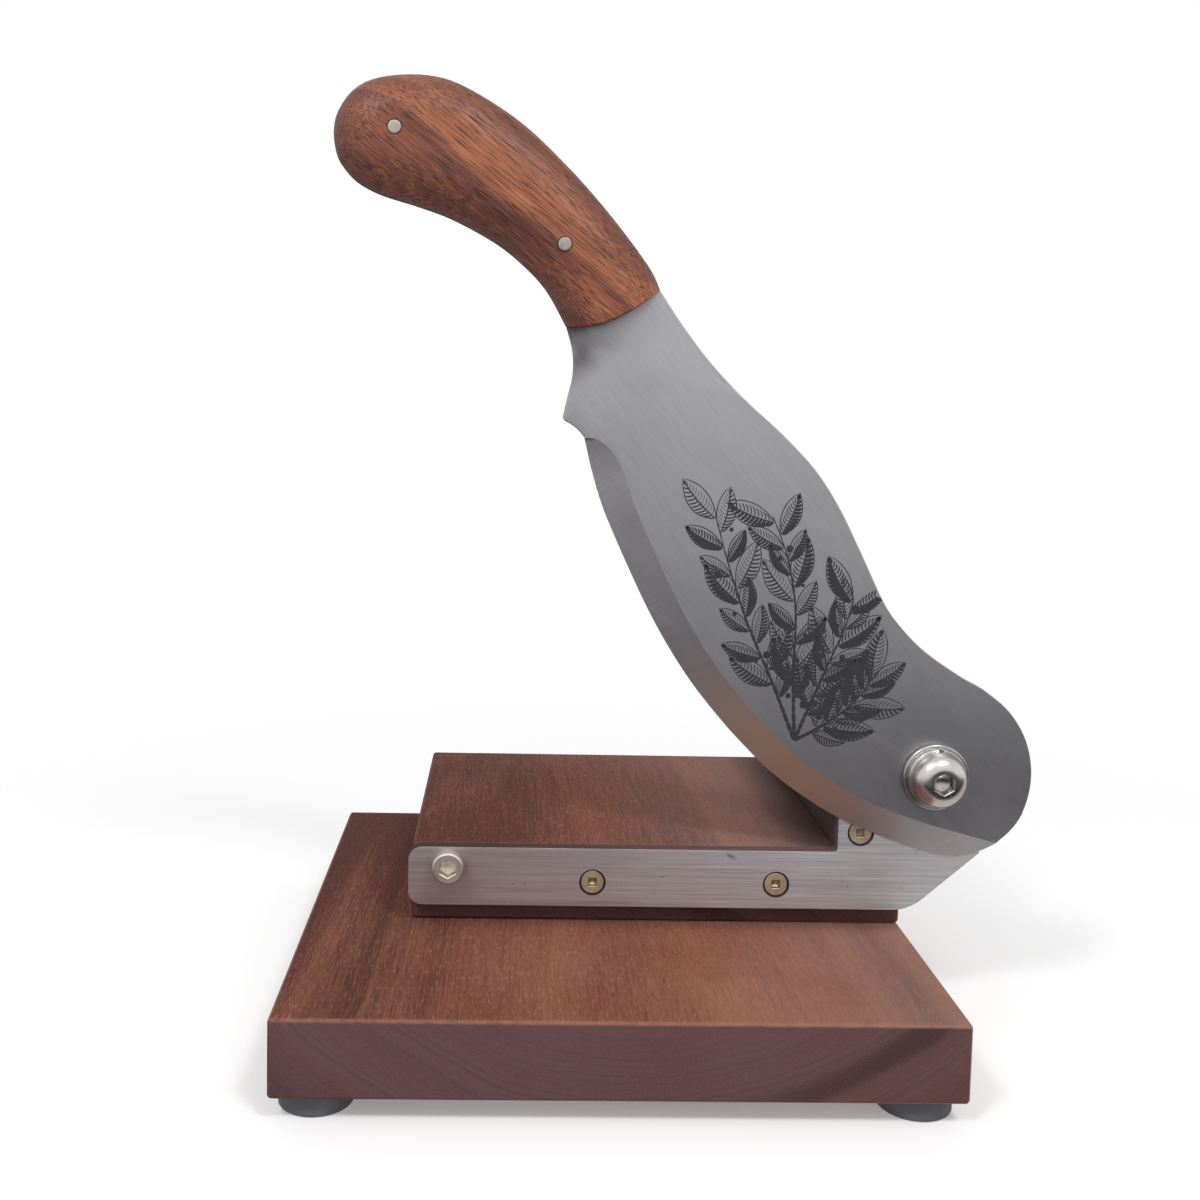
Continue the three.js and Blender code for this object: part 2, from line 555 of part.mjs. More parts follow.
// The cutting edge from the notch to the heel, and the grind line that the bevel starts from:
// the edge moved inward by the bevel's width, which runs out in a round end at the notch. At the heel
// the grind line goes straight to a corner a little short of the edge's end.
function edgeAndGrind() {
  const heel = EDGE_HEEL.map(([x, z]) => new THREE.Vector2(x, z).multiplyScalar(HEEL_RADIUS));
  const curve = new THREE.SplineCurve([notchPoint, ...EDGE.map(alongReach), ...heel, onHeel(HEEL_END)]);
  const length = curve.getLength();
  const inward = (u, width) => {
    const tangent = curve.getTangentAt(u);
    return curve.getPointAt(u).add(new THREE.Vector2(-tangent.y, tangent.x).multiplyScalar(width));
  };
  const heelStart = inward(1 - BEVEL_HEEL_RUN_OUT / length, BEVEL_WIDTH);
  const heelCorner = curve.getPointAt(1 - BEVEL_HEEL_END / length);
  const edge = [];
  const grind = [];
  for (let k = 0; k <= CURVE_STEPS; k += 1) {
    const u = k / CURVE_STEPS;
    const nearNotch = Math.min(1, (u * length) / BEVEL_RUN_OUT);
    const heelShare = (BEVEL_HEEL_RUN_OUT - (1 - u) * length) / (BEVEL_HEEL_RUN_OUT - BEVEL_HEEL_END);
    edge.push(curve.getPointAt(u));
    if (heelShare <= 0) grind.push(inward(u, BEVEL_WIDTH * Math.sqrt(1 - (1 - nearNotch) ** 2)));
    else if (heelShare < 1) grind.push(heelStart.clone().lerp(heelCorner, heelShare));
    else grind.push(curve.getPointAt(u));
  }
  return { edge, grind };
}

// The rest of the outline, from the heel end of the edge back to the notch
function backOutline() {
  const heel = new THREE.EllipseCurve(0, 0, HEEL_RADIUS, HEEL_RADIUS, HEEL_END, HEEL_START);
  const gripStart = gripPoints[0];
  const gripEnd = gripPoints[gripPoints.length - 1];
  const spinePoints = [onHeel(HEEL_START), ...SPINE.map(alongReach).reverse(), gripEnd];
  const neckPoints = [gripStart, ...NECK.map(fromNotch), spurTip];
  return [
    ...heel.getPoints(HEEL_STEPS).slice(1), ...spline(spinePoints, SPINE_STEPS).slice(1),
    ...gripPoints.toReversed().slice(1), ...spline(neckPoints, NECK_STEPS).slice(1),
    ...notchArc().slice(1, -1),
  ];
}

// Blade: flat back, flat front with one ground bevel. Front is -Y.
function bladeGeometry() {
  const front = -BLADE_THICKNESS / 2;
  const back = BLADE_THICKNESS / 2;
  const edgeFront = back - EDGE_THICKNESS;
  const { edge, grind } = edgeAndGrind();
  const rest = backOutline();
  const corners = [];
  const quad = (a, b, c, d) => corners.push(a, b, c, a, c, d);
  const at = (point, y) => [point.x, y, point.y];
  const face = (outline, y, flip) => {
    for (const [a, b, c] of THREE.ShapeUtils.triangulateShape(outline, [])) {
      const order = flip ? [a, c, b] : [a, b, c];
      corners.push(...order.map((k) => at(outline[k], y)));
    }
  };
  face([...grind, ...rest], front, false);
  face([...edge, ...rest], back, true);
  for (let k = 0; k < CURVE_STEPS; k += 1) {
    quad(at(grind[k], front), at(edge[k], edgeFront), at(edge[k + 1], edgeFront), at(grind[k + 1], front));
    quad(at(edge[k], edgeFront), at(edge[k], back), at(edge[k + 1], back), at(edge[k + 1], edgeFront));
  }
  const wall = [edge[CURVE_STEPS], ...rest, edge[0]];
  for (let k = 0; k < wall.length - 1; k += 1) {
    quad(at(wall[k], front), at(wall[k], back), at(wall[k + 1], back), at(wall[k + 1], front));
  }
  // The walls beside both ends of the edge take in the edge's own height
  corners.push(at(edge[CURVE_STEPS], front), at(edge[CURVE_STEPS], edgeFront), at(edge[CURVE_STEPS], back));
  corners.push(at(edge[0], front), at(edge[0], back), at(edge[0], edgeFront));
  const geometry = new THREE.BufferGeometry();
  geometry.setAttribute('position', new THREE.Float32BufferAttribute(corners.flat(), 3));
  return geometry;
}

const pinHoles = (radius, fromY, toY) => PIN_PLACES.map(([, dx, dz]) => {
  const { x, y } = fromNotch([dx, dz]);
  return barY(radius, fromY, toY, SCREW_SEGMENTS).translate(x, 0, y);
});

// Handle scales: the grip's outline rounded over on the outside, flat against the tang.
// The outline first runs on past the grip's end, so that the rounding is cut off square there.
const gripHalf = BLADE_THICKNESS / 2 + RUNNING_GAP + SCALE_THICKNESS;

function gripBody() {
  const last = gripPoints.length - 1;
  const runOn = (from, to) => to.clone().add(to.clone().sub(from).setLength(3 * SCALE_ROUND));
  const lower = runOn(gripPoints[1], gripPoints[0]);
  const upper = runOn(gripPoints[last - 1], gripPoints[last]);
  const rounding = {
    bevelEnabled: true, bevelSize: SCALE_ROUND, bevelThickness: SCALE_ROUND, bevelOffset: -SCALE_ROUND,
    bevelSegments: GRIP_ROUND_STEPS,
  };
  const shape = new THREE.Shape([lower, ...gripPoints, upper]);
  return slab(shape, SCALE_ROUND - gripHalf, gripHalf - SCALE_ROUND, rounding);
}

function handleScale(side) {
  const lower = gripPoints[0];
  const upper = gripPoints[gripPoints.length - 1];
  const bulge = fromNotch(GRIP_END_BULGE);
  const reach = 4 * Math.abs(notchX);
  const zone = new THREE.Shape();
  zone.moveTo(-reach, -reach);
  zone.lineTo(lower.x, -reach);
  zone.lineTo(lower.x, lower.y);
  zone.quadraticCurveTo(bulge.x, bulge.y, upper.x, upper.y);
  zone.lineTo(upper.x, reach);
  zone.lineTo(-reach, reach);
  const inside = BLADE_THICKNESS / 2 + RUNNING_GAP;
  const [front, back] = side < 0 ? [-reach, -inside] : [inside, reach];
  const scale = toSolid(gripBody()).intersect(toSolid(slab(zone, front, back)));
  return cut(toGeometry(scale), pinHoles(PIN_DIAMETER / 2 + FIT, -2 * gripHalf, 2 * gripHalf));
}

const lever = new THREE.Group();
lever.position.set(pivotX, bladeMiddle, pivotZ);
lever.rotation.y = OPEN_ANGLE;
assembly.add(lever);

const bladeHoles = [
  barY(boreRadius, -BLADE_THICKNESS, BLADE_THICKNESS),
  ...pinHoles(PIN_DIAMETER / 2 + FIT, -BLADE_THICKNESS, BLADE_THICKNESS),
];
addTo(lever, 'blade', cut(bladeGeometry(), bladeHoles), bladeSteel);
addTo(lever, 'handle_scale_front', handleScale(-1), handleWood);
addTo(lever, 'handle_scale_rear', handleScale(1), handleWood);
for (const [name, dx, dz] of PIN_PLACES) {
  const { x, y } = fromNotch([dx, dz]);
  addTo(lever, name, barY(PIN_DIAMETER / 2, -gripHalf, gripHalf, SCREW_SEGMENTS), brightSteel)
    .position.set(x, 0, y);
}

const cutter = new THREE.Group();
cutter.add(assembly);

export default cutter;
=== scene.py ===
"""Looks of the biltong cutter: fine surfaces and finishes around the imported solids, in metres."""

import json
import math

import bmesh
import bpy
import numpy as np
from bpy.props import FloatProperty, FloatVectorProperty, PointerProperty
from mathutils import Matrix, Vector
from mathutils.geometry import delaunay_2d_cdt


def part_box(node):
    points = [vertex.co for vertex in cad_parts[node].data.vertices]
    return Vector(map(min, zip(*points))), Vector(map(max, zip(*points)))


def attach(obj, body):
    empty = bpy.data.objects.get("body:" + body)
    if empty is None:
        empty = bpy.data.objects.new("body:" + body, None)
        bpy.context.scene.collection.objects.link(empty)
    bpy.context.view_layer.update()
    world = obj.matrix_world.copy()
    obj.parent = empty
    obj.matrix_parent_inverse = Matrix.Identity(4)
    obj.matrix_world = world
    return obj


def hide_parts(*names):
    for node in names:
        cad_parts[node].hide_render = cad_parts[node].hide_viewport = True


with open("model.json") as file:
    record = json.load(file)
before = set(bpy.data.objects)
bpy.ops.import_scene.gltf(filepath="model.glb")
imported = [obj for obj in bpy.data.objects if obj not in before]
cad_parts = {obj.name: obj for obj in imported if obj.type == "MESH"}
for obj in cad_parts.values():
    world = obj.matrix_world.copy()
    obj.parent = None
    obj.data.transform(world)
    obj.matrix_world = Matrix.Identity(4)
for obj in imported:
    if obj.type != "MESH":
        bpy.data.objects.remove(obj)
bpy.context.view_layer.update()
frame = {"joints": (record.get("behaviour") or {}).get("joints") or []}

bl_info = {
    "name": "Biltong cutter",
    "version": (1, 0, 0),
    "blender": (4, 5, 0),
    "location": "View3D > Sidebar > Cutter",
    "description": "Builds the surfaces, finishes and stage of a lever-blade biltong cutter",
    "category": "Add Mesh",
}

MM = 0.001
WELD = 2e-6
SHARP_ANGLE = math.radians(24)
AROUND = 144

JOINT = frame["joints"][0]
PIVOT = np.array(JOINT["pos_m"])
OPEN_ANGLE = math.radians(-JOINT["range_deg"][0])
ALONG_LEVER = np.array([math.cos(OPEN_ANGLE), 0, -math.sin(OPEN_ANGLE)])
UP_LEVER = np.array([math.sin(OPEN_ANGLE), 0, math.cos(OPEN_ANGLE)])
HANDLE_PINS = ("handle_pin_butt", "handle_pin_neck")


def node_box(node):
    """Lowest and highest corner of a solid, as arrays."""
    low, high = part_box(node)
    return np.array(low), np.array(high)


def node_middle(node):
    low, high = node_box(node)
    return (low + high) / 2


def low_end(node, axis):
    """Middle of a solid's lowest face along an axis."""
    spot = node_middle(node)
    spot[axis] = node_box(node)[0][axis]
    return spot


def half_width(node):
    low, high = node_box(node)
    return (high[0] - low[0]) / 2


def srgb(red, green, blue):
    """A colour written in 0 to 255, as linear values."""
    share = np.array([red, green, blue]) / 255
    return tuple(np.where(share > 0.04045, ((share + 0.055) / 1.055) ** 2.4, share / 12.92))


def times(factor, tint):
    """A colour with its light multiplied, up to white."""
    return tuple(min(1.0, factor * part) for part in tint)


def piece_name(node):
    """The name of the piece that covers a solid."""
    return node.replace("_", " ").title().replace(" ", "")


# Driving sizes and colours

def length(name, description, millimetres):
    return FloatProperty(
        name=name, description=description, default=millimetres * MM, unit="LENGTH", subtype="DISTANCE",
        precision=5,
    )


def share(name, description, value):
    return FloatProperty(name=name, description=description, default=value, subtype="FACTOR")


def colour(name, description, red, green, blue):
    return FloatVectorProperty(
        name=name, description=description, default=srgb(red, green, blue), subtype="COLOR", size=3,
        min=0.0, max=1.0,
    )


class CutterSizes(bpy.types.PropertyGroup):
    """Sizes of the fine shapes that the solids leave plain"""

    wood_round: length("Wood edge", "Radius along the edges of the boards", 1.3)
    steel_round: length("Steel edge", "Radius along the edges of plate and blade", 0.3)
    edge_thickness: length("Cutting edge", "Thickness of the ground edge", 0.3)
    bevel_width: length("Bevel", "Width of the ground bevel", 9.2)
    bevel_run_out: length("Bevel run-out", "Stretch over which the bevel ends at the notch", 15.0)
    heel_run_out: length("Heel run-out", "Where the bevel starts to end, from the edge's heel end", 37.5)
    heel_corner: length("Heel corner", "Where the bevel has ended, from the edge's heel end", 12.5)
    heel_point: length("Heel point", "Where the edge starts to thicken, from its heel end", 19.5)
    spur_round: length("Spur", "Length of outline that the spur's round tip takes up", 1.6)
    notch_lead: length("Notch lead", "How far the notch stands in from the stop's axis", 1.5)
    stop_room: length("Stop room", "Height of the notch over the stop's axis", 5.4)
    handle_round: length("Handle rounding", "Width over which the scales round over", 15.0)
    handle_end_round: length("Handle end", "Radius along the end of the scales", 0.5)
    bolt_bore: length("Bolt bore", "Radius of the holes for the pivot bolt", 5.3)
    foot_lip: length("Foot lip", "Radius along the lower rim of the feet", 0.4)
    etch_height: length("Etch", "Thickness of the etched ornament's marks", 0.015)


class CutterColours(bpy.types.PropertyGroup):
    """Colours of the finishes"""

    stain_dark: colour("Dark stain", "Darkest bands of the boards", 84, 50, 44)
    stain_mid: colour("Stain", "Middle tone of the boards", 122, 78, 65)
    stain_light: colour("Light stain", "Lightest bands of the boards", 150, 99, 80)
    warm_stain: colour("Warm stain", "Patches where the boards show orange", 124, 68, 46)
    end_grain: colour("End grain", "Tone of the boards' ends", 78, 66, 76)
    # Painted shade at the end stop and on the block beside it, and the real dark grain of the ends
    dark_grain_and_shade: colour("Soot", "Dark wood at the end stop and in the end grain", 52, 44, 46)
    # Painted sheen, grey, on the boards' right side, in part a dusty film
    dust_and_sheen: colour("Dust", "Grey veil on the boards' right side", 146, 122, 116)
    # Pale flecks of the grain, and a painted highlight along the boards' upper edges
    pale_fleck_and_highlight: colour("Worn wood", "Rubbed edges of the boards", 152, 108, 90)
    handle_dark: colour("Dark handle wood", "Dark streaks of the handle", 70, 38, 36)
    handle_mid: colour("Handle wood", "Middle tone of the handle", 112, 66, 56)
    handle_warm: colour("Warm handle wood", "Orange streaks of the handle", 146, 86, 58)
    handle_light: colour("Light handle wood", "Light streaks of the handle", 182, 116, 84)
    pore: colour("Pore", "Open pores in the woods", 44, 24, 22)
    plate_steel: colour("Plate steel", "Brushed steel of the side plate", 226, 225, 229)
    blade_steel: colour("Blade steel", "Brushed steel of the blade", 180, 179, 183)
    bright_steel: colour("Bright steel", "Smooth steel of bolts and washers", 212, 209, 205)
    stop_steel: colour("Stop steel", "Pale steel of the stop screw", 226, 217, 206)
    pin_steel: colour("Pin steel", "Filed ends of the handle pins", 178, 172, 164)
    # Painted reflection of the boards, warm, in the middle of the ground bevel
    reflected_board_steel: colour("Warm steel", "Middle of the ground bevel, over the boards", 208, 190, 177)
    # Painted reflection of the brown wood on the left of the plate
    wood_reflection: colour("Tarnish", "Brown film on the left of the plate", 150, 118, 112)
    # A real stain on the plate; painted shade and shadow on the blade by the handle
    grime_and_shade: colour("Grime", "Dark film on the steel beside the handle", 62, 54, 50)
    etch: colour("Etch", "Etched marks on the blade", 52, 51, 56)
    zinc: colour("Yellow zinc", "Plating of the wood screws", 214, 198, 170)
    rubber: colour("Rubber", "Feet", 80, 81, 87)
    nylon: colour("Nylon", "Insert of the lock nut", 216, 212, 200)


class CutterStage(bpy.types.PropertyGroup):
    """Camera, lamps and floor"""

    camera_place: FloatVectorProperty(
        name="Camera place", description="Where the camera stands", subtype="TRANSLATION", unit="LENGTH",
        default=(-0.05117, -0.42492, 0.19262),
    )
    yaw: FloatProperty(name="Yaw", description="Turn to the right", default=0.02557, unit="ROTATION")
    pitch: FloatProperty(name="Pitch", description="Tilt downward", default=0.07487, unit="ROTATION")
    roll: FloatProperty(name="Roll", description="Tilt sideways", default=0.0216, unit="ROTATION")
    lens: FloatProperty(
        name="Lens", description="Focal length in millimetres", default=39.0, unit="CAMERA",
    )
    shift_x: FloatProperty(name="Shift X", description="Frame shift to the side", default=0.0458)
    shift_y: FloatProperty(name="Shift Y", description="Frame shift upward", default=-0.0792)
    ambient: share("Ambient", "Level of the light from all round", 0.62)
    lamp_power: FloatProperty(
        name="Lamps", description="Power of each soft lamp", default=5.0, unit="POWER",
    )
    lamp_size: length("Lamp size", "Side of each soft lamp", 220)
    floor: colour("Floor", "Pale floor", 232, 232, 232)
    mat_near: colour("Mat near", "Reflected mat beside the cutter", 222, 214, 210)
    mat_front: colour("Mat in front", "Reflected mat in front of the cutter", 28, 28, 34)
    mat_far: colour("Mat far", "Reflected mat far in front", 184, 182, 186)


# Shader maths

class Value:
    """A socket whose arithmetic adds Math nodes to its material."""

    def __init__(self, finish, socket):
        self.finish = finish
        self.socket = socket

    def maths(self, operation, *terms):
        return self.finish.node("ShaderNodeMath", {"operation": operation}, dict(enumerate(terms)))

    def __add__(self, other):
        return self.maths("ADD", self, other)

    def __sub__(self, other):
        return self.maths("SUBTRACT", self, other)

    def __rsub__(self, other):
        return self.maths("SUBTRACT", other, self)

    def __mul__(self, other):
        return self.maths("MULTIPLY", self, other)

    def __pow__(self, other):
        return self.maths("POWER", self, other)

    def __abs__(self):
        return self.maths("ABSOLUTE", self)

    __radd__ = __add__
    __rmul__ = __mul__

    def rise(self, start, end):
        """0 below start, 1 above end and a smooth step between."""
        limits = {"Value": self, "From Min": start, "From Max": end}
        return self.finish.node("ShaderNodeMapRange", {"interpolation_type": "SMOOTHSTEP"}, limits)


class Finish:
    """A material in the making: its nodes and its shader."""

    def __init__(self, name, constants):
        self.material = bpy.data.materials.new(name)
        self.material.use_nodes = True
        self.tree = self.material.node_tree
        self.shader = self.tree.nodes["Principled BSDF"]
        self.feed(self.shader, constants)
        self.place = self.node("ShaderNodeTexCoord", out="Object")

    def feed(self, node, sockets):
        for key, value in sockets.items():
            live = [s for s in node.inputs if s.enabled]
            socket = live[key] if isinstance(key, int) else next(s for s in live if s.name == key)
            if isinstance(value, Value):
                self.tree.links.new(value.socket, socket)
            elif socket.type == "RGBA":
                socket.default_value = (*value[:3], 1.0)
            else:
                socket.default_value = value

    def node(self, kind, settings=None, sockets=None, out=0):
        """A new node with its settings, then its sockets; gives the output named or numbered by out."""
        made = self.tree.nodes.new(kind)
        for key, value in (settings or {}).items():
            if key == "stops":
                self.set_stops(made.color_ramp, value)
            else:
                setattr(made, key, value)
        self.feed(made, sockets or {})
        live = [s for s in made.outputs if s.enabled]
        return Value(self, live[out] if isinstance(out, int) else made.outputs[out])

    @staticmethod
    def set_stops(ramp, stops):
        while len(ramp.elements) < len(stops):
            ramp.elements.new(1.0)
        for element, (position, tint) in zip(ramp.elements, stops):
            element.position = position
            element.color = (*tint[:3], 1.0)

    def split(self, vector):
        parts = self.node("ShaderNodeSeparateXYZ", None, {"Vector": vector})
        outputs = parts.socket.node.outputs
        return [Value(self, outputs[axis]) for axis in "XYZ"]

    def turned(self, centre, angle):
        """Object place seen from a centre, with the axes turned about Y."""
        sockets = {"Vector": self.place, "Location": tuple(centre), "Rotation": (0, angle, 0)}
        return self.node("ShaderNodeMapping", {"vector_type": "TEXTURE"}, sockets)

    def noise(self, vector, stretch, detail=2.0, roughness=0.5, offset=0.0):
        """Noise in 0 to 1 with as many cells per metre along each axis as stretch says."""
        scale = {0: vector, 1: tuple(stretch), 2: (offset, offset, offset)}
        spot = self.node("ShaderNodeVectorMath", {"operation": "MULTIPLY_ADD"}, scale)
        settings = {"Vector": spot, "Scale": 1.0, "Detail": detail, "Roughness": roughness}
        return self.node("ShaderNodeTexNoise", {"noise_dimensions": "3D"}, settings)

    def bands(self, measure, detail=2.0):
        """Noise in 0 to 1 along one measure."""
        settings = {"W": measure, "Scale": 1.0, "Detail": detail}
        return self.node("ShaderNodeTexNoise", {"noise_dimensions": "1D"}, settings)

    def mix(self, factor, first, second):
        settings = {"data_type": "RGBA", "blend_type": "MIX", "clamp_factor": True}
        return self.node("ShaderNodeMix", settings, {"Factor": factor, "A": first, "B": second})

    def ramp(self, factor, stops):
        return self.node("ShaderNodeValToRGB", {"stops": stops}, {"Fac": factor})

    def wear(self):
        """The piece's own record of its edges, which take a painted highlight on the boards, and of where
        painted shade falls in recesses and on shaded sides.
        """
        settings = {"attribute_name": "wear", "attribute_type": "GEOMETRY"}
        return self.node("ShaderNodeAttribute", settings, out="Fac")

    def facing(self):
        """Parts of the surface's direction in the object's axes."""
        return self.split(self.node("ShaderNodeTexCoord", out="Normal"))

    def relief(self, height, depth, strength=1.0):
        sockets = {"Height": height, "Distance": depth, "Strength": strength}
        return self.node("ShaderNodeBump", None, sockets)

    def done(self, **sockets):
        named = {key.replace("_", " "): value for key, value in sockets.items()}
        self.feed(self.shader, named)
        return self.material


# Finishes

def stained_wood(name, colours, pith, shade, late, dark_grain_and_shade, shaded_axis, highlight_strength):
    """Flat-sawn board: rings about an axis along Y through pith, fibres and pores along Y, dark ends.
    Shade moves the board's tone; for the end stop it is painted shade. Painted light makes the tone grow
    lighter to the right, and painted shade darkens the lower board towards the back. Late is the radius of
    a dark ring that shows on the right, and well outside it the ends are dark on the left. From a little
    left of the given start, what faces up (axis 2) or left (axis 0) takes painted shade; a grey painted
    sheen, in part a dusty film, lies on the right side; and the last value sets a painted highlight along
    the upper edges."""
    wood = Finish(name, {"IOR": 1.3, "Specular IOR Level": 0.1})
    x, y, z = wood.split(wood.place)
    wander = wood.noise(wood.place, (26, 6, 26), 3.0) - 0.5
    across = x - pith[0]
    down = z - pith[1]
    ring = (across * across + down * down) ** 0.5 + wander * 0.008 + y * 0.03
    broad = wood.bands(ring * 105, 3.0)
    narrow = wood.bands(ring * 620, 2.0)
    blotch = wood.noise(wood.place, (22, 10, 22), 2.0, offset=3.0)
    fibre = wood.noise(wood.place, (1500, 100, 1500), 3.0)
    pores = wood.noise(wood.place, (2900, 230, 2900), 1.0, offset=7.0).rise(0.58, 0.72)
    curl = wood.noise(wood.place, (70, 70, 70), 1.0, offset=15.0) - 0.5
    strand = wood.node("ShaderNodeCombineXYZ", None, {0: x + curl * 0.0055, 1: y, 2: z})
    flecks = wood.noise(strand, (2600, 280, 2600), 1.0, offset=11.0).rise(0.55, 0.7)
    streak = wood.noise(wood.place, (1700, 36, 1700), 2.0, offset=23.0) - 0.5
    end = abs(wood.facing()[1]).rise(0.75, 0.95)
    above = z.rise(0.03, 0.05)
    right = across.rise(-0.01, 0.05)
    dark_ring = (1 - abs(ring - late).rise(0.5 * MM, 6.5 * MM)) * right
    tone = broad * 0.36 + narrow * 0.14 + blotch * 0.4 + fibre * 0.32 - dark_ring * 0.16 - 0.11
    # Painted light: away from the ends, the tone grows lighter to the right
    tone = tone + (1 - end) * ((x + 0.0186) * 2.3 + shade + streak * 0.3)
    # Painted shade: the lower board's top grows darker towards the back, beside the block
    tone = tone - (1 - end) * (1 - above) * y.rise(-0.01, 0.07) * 0.16
    stops = [(0.26, colours.stain_dark), (0.5, colours.stain_mid), (0.76, colours.stain_light)]
    tint = wood.ramp(tone, stops)
    warm = wood.noise(wood.place, (30, 30, 30), 2.0, offset=19.0).rise(0.48, 0.68)
    tint = wood.mix(warm * tone.rise(0.15, 0.5) * 0.45, tint, colours.warm_stain)
    tint = wood.mix(pores * 0.22, tint, colours.pore)
    tint = wood.mix(flecks * (tone.rise(0.1, 0.6) + 0.3) * 0.5, tint, colours.pale_fleck_and_highlight)
    # Painted sheen, in part a dusty film: grey over the right side, rising sooner on the block's higher top
    sheen = (x + above * 0.03).rise(-0.01, 0.085)
    tint = wood.mix((1 - end) * sheen * 0.42, tint, colours.dust_and_sheen)
    # Painted shade: from a little left of the given start, faces along the shaded axis darken, on the end
    # stop's left face and the block's top beside it
    side = (wood.facing()[shaded_axis] * (shaded_axis - 1)).rise(0.5, 0.9)
    tint = wood.mix(x.rise(dark_grain_and_shade - 24 * MM, dark_grain_and_shade - 4 * MM) * side * 0.76, tint, colours.dark_grain_and_shade)
    grey = wood.mix(tone.rise(0.2, 0.8) * 0.36 + 0.42, tint, colours.end_grain)
    tint = wood.mix(end, tint, grey)
    tint = wood.mix(end * narrow.rise(0.44, 0.72) * 0.19, tint, colours.dark_grain_and_shade)
    corner = (ring - late).rise(18 * MM, 27 * MM) * (1 - right)
    tint = wood.mix(end * (dark_ring + corner) * 0.34, tint, colours.dark_grain_and_shade)
    # Painted highlight along the rounded upper edges, broken into patches; its strength is the last
    # argument
    patchy = wood.noise(wood.place, (240, 240, 240), 3.0, offset=2.0).rise(0.3, 0.6)
    lit_edge = wood.wear() ** 1.6 * (patchy * 0.6 + 0.4) * wood.facing()[2].rise(0.05, 0.4)
    tint = wood.mix(lit_edge * highlight_strength, tint, colours.pale_fleck_and_highlight)
    height = fibre * 0.5 - pores * 0.8
    return wood.done(
        Base_Color=tint, Roughness=0.58 + fibre * 0.16 + pores * 0.2,
        Normal=wood.relief(height, 0.08 * MM, 0.6),
    )


def handle_wood(name, colours, grain_angle):
    """Oiled hardwood with streaks and pores along the grain, which lies in the plane of the blade."""
    wood = Finish(name, {"IOR": 1.46, "Specular IOR Level": 0.34})
    spot = wood.turned(node_middle("handle_scale_front"), grain_angle)
    sway = wood.noise(spot, (14, 30, 30), 2.0) - 0.5
    _, y, z = wood.split(spot)
    streak = wood.bands(z * 170 + y * 90 + sway * 3.2, 3.0)
    blotch = wood.noise(spot, (22, 60, 60), 2.0, offset=5.0)
    fibre = wood.noise(spot, (80, 2900, 2900), 3.0)
    pores = wood.noise(spot, (130, 2900, 2900), 1.0, offset=9.0).rise(0.56, 0.66)
    # The z term is painted shade: the handle grows darker towards its lower side
    tone = streak * 0.6 + blotch * 0.46 + fibre * 0.85 + z * 6 - 0.45
    stops = [
        (0.2, colours.handle_dark), (0.44, colours.handle_mid), (0.6, colours.handle_warm),
        (0.82, colours.handle_light),
    ]
    tint = wood.ramp(tone, stops)
    tint = wood.mix(pores * 0.68, tint, colours.pore)
    for pin in HANDLE_PINS:
        x, _, z = wood.split(wood.turned(node_middle(pin), 0))
        ring = 1 - ((x * x + z * z) ** 0.5).rise(2.15 * MM, 2.5 * MM)
        tint = wood.mix(ring * 0.8, tint, colours.pore)
    # Painted shade, from the piece's record: the lower side of the scales and their end wall
    tint = wood.mix(wood.wear() * 0.85, tint, colours.pore)
    height = fibre * 0.4 - pores
    return wood.done(
        Base_Color=tint, Roughness=0.36 + fibre * 0.14 + pores * 0.2,
        Normal=wood.relief(height, 0.07 * MM, 0.6),
    )


def plate_steel(name, colours):
    """Steel brushed along X: streaks of several lengths, a few specks and one stain, a painted reflection
    of the brown wood on the left, and painted shade on the rim."""
    steel = Finish(name, {"Specular IOR Level": 0.1})
    hair = steel.noise(steel.place, (34, 300, 3600), 3.0, 0.6)
    streak = steel.noise(steel.place, (12, 300, 900), 2.0, offset=4.0)
    cloud = steel.noise(steel.place, (26, 40, 60), 3.0, offset=8.0)
    specks = steel.noise(steel.place, (420, 420, 700), 1.0, offset=6.0).rise(0.72, 0.78)
    tone = hair * 0.7 + streak * 0.34 + cloud * 0.2 - 0.12
    dull = times(0.58, colours.plate_steel)
    tint = steel.mix(tone.rise(0.25, 0.75), dull, colours.plate_steel)
    tint = steel.mix(specks * 0.4, tint, colours.etch)
    bar_top = node_box("cutting_block")[1][2]
    stain = node_middle("plate_screw_right") + np.array([-14.4 * MM, 0, 0])
    stain[2] = bar_top - 2.2 * MM
    # Painted reflection of the brown wood, stronger to the left
    left = 1 - steel.split(steel.place)[0].rise(-0.08, 0.04)
    tint = steel.mix(left * 0.45, tint, colours.wood_reflection)
    x, _, z = steel.split(steel.turned(stain, 0.5))
    spot = 1 - ((x * x * 0.2 + z * z) ** 0.5).rise(0.3 * MM, 1.2 * MM)
    tint = steel.mix(spot * cloud.rise(0.3, 0.6) * 0.8, tint, colours.grime_and_shade)
    # Painted shade on the rim: dark steel where it faces sideways or down, dark wood colours where it faces
    # up, darker to the left; the rim is also made rougher and not metallic
    rim = 1 - abs(steel.facing()[1]).rise(0.8, 0.99)
    top = steel.mix(left, colours.stain_dark, colours.pore)
    cut = steel.mix(steel.facing()[2].rise(0.3, 0.8), times(0.055, colours.plate_steel), top)
    tint = steel.mix(rim * 0.95, tint, cut)
    return steel.done(
        Base_Color=tint, Metallic=1 - rim, Roughness=0.46 + hair * 0.14 + rim * 0.3,
        Normal=steel.relief(hair, 0.02 * MM, 0.5),
    )


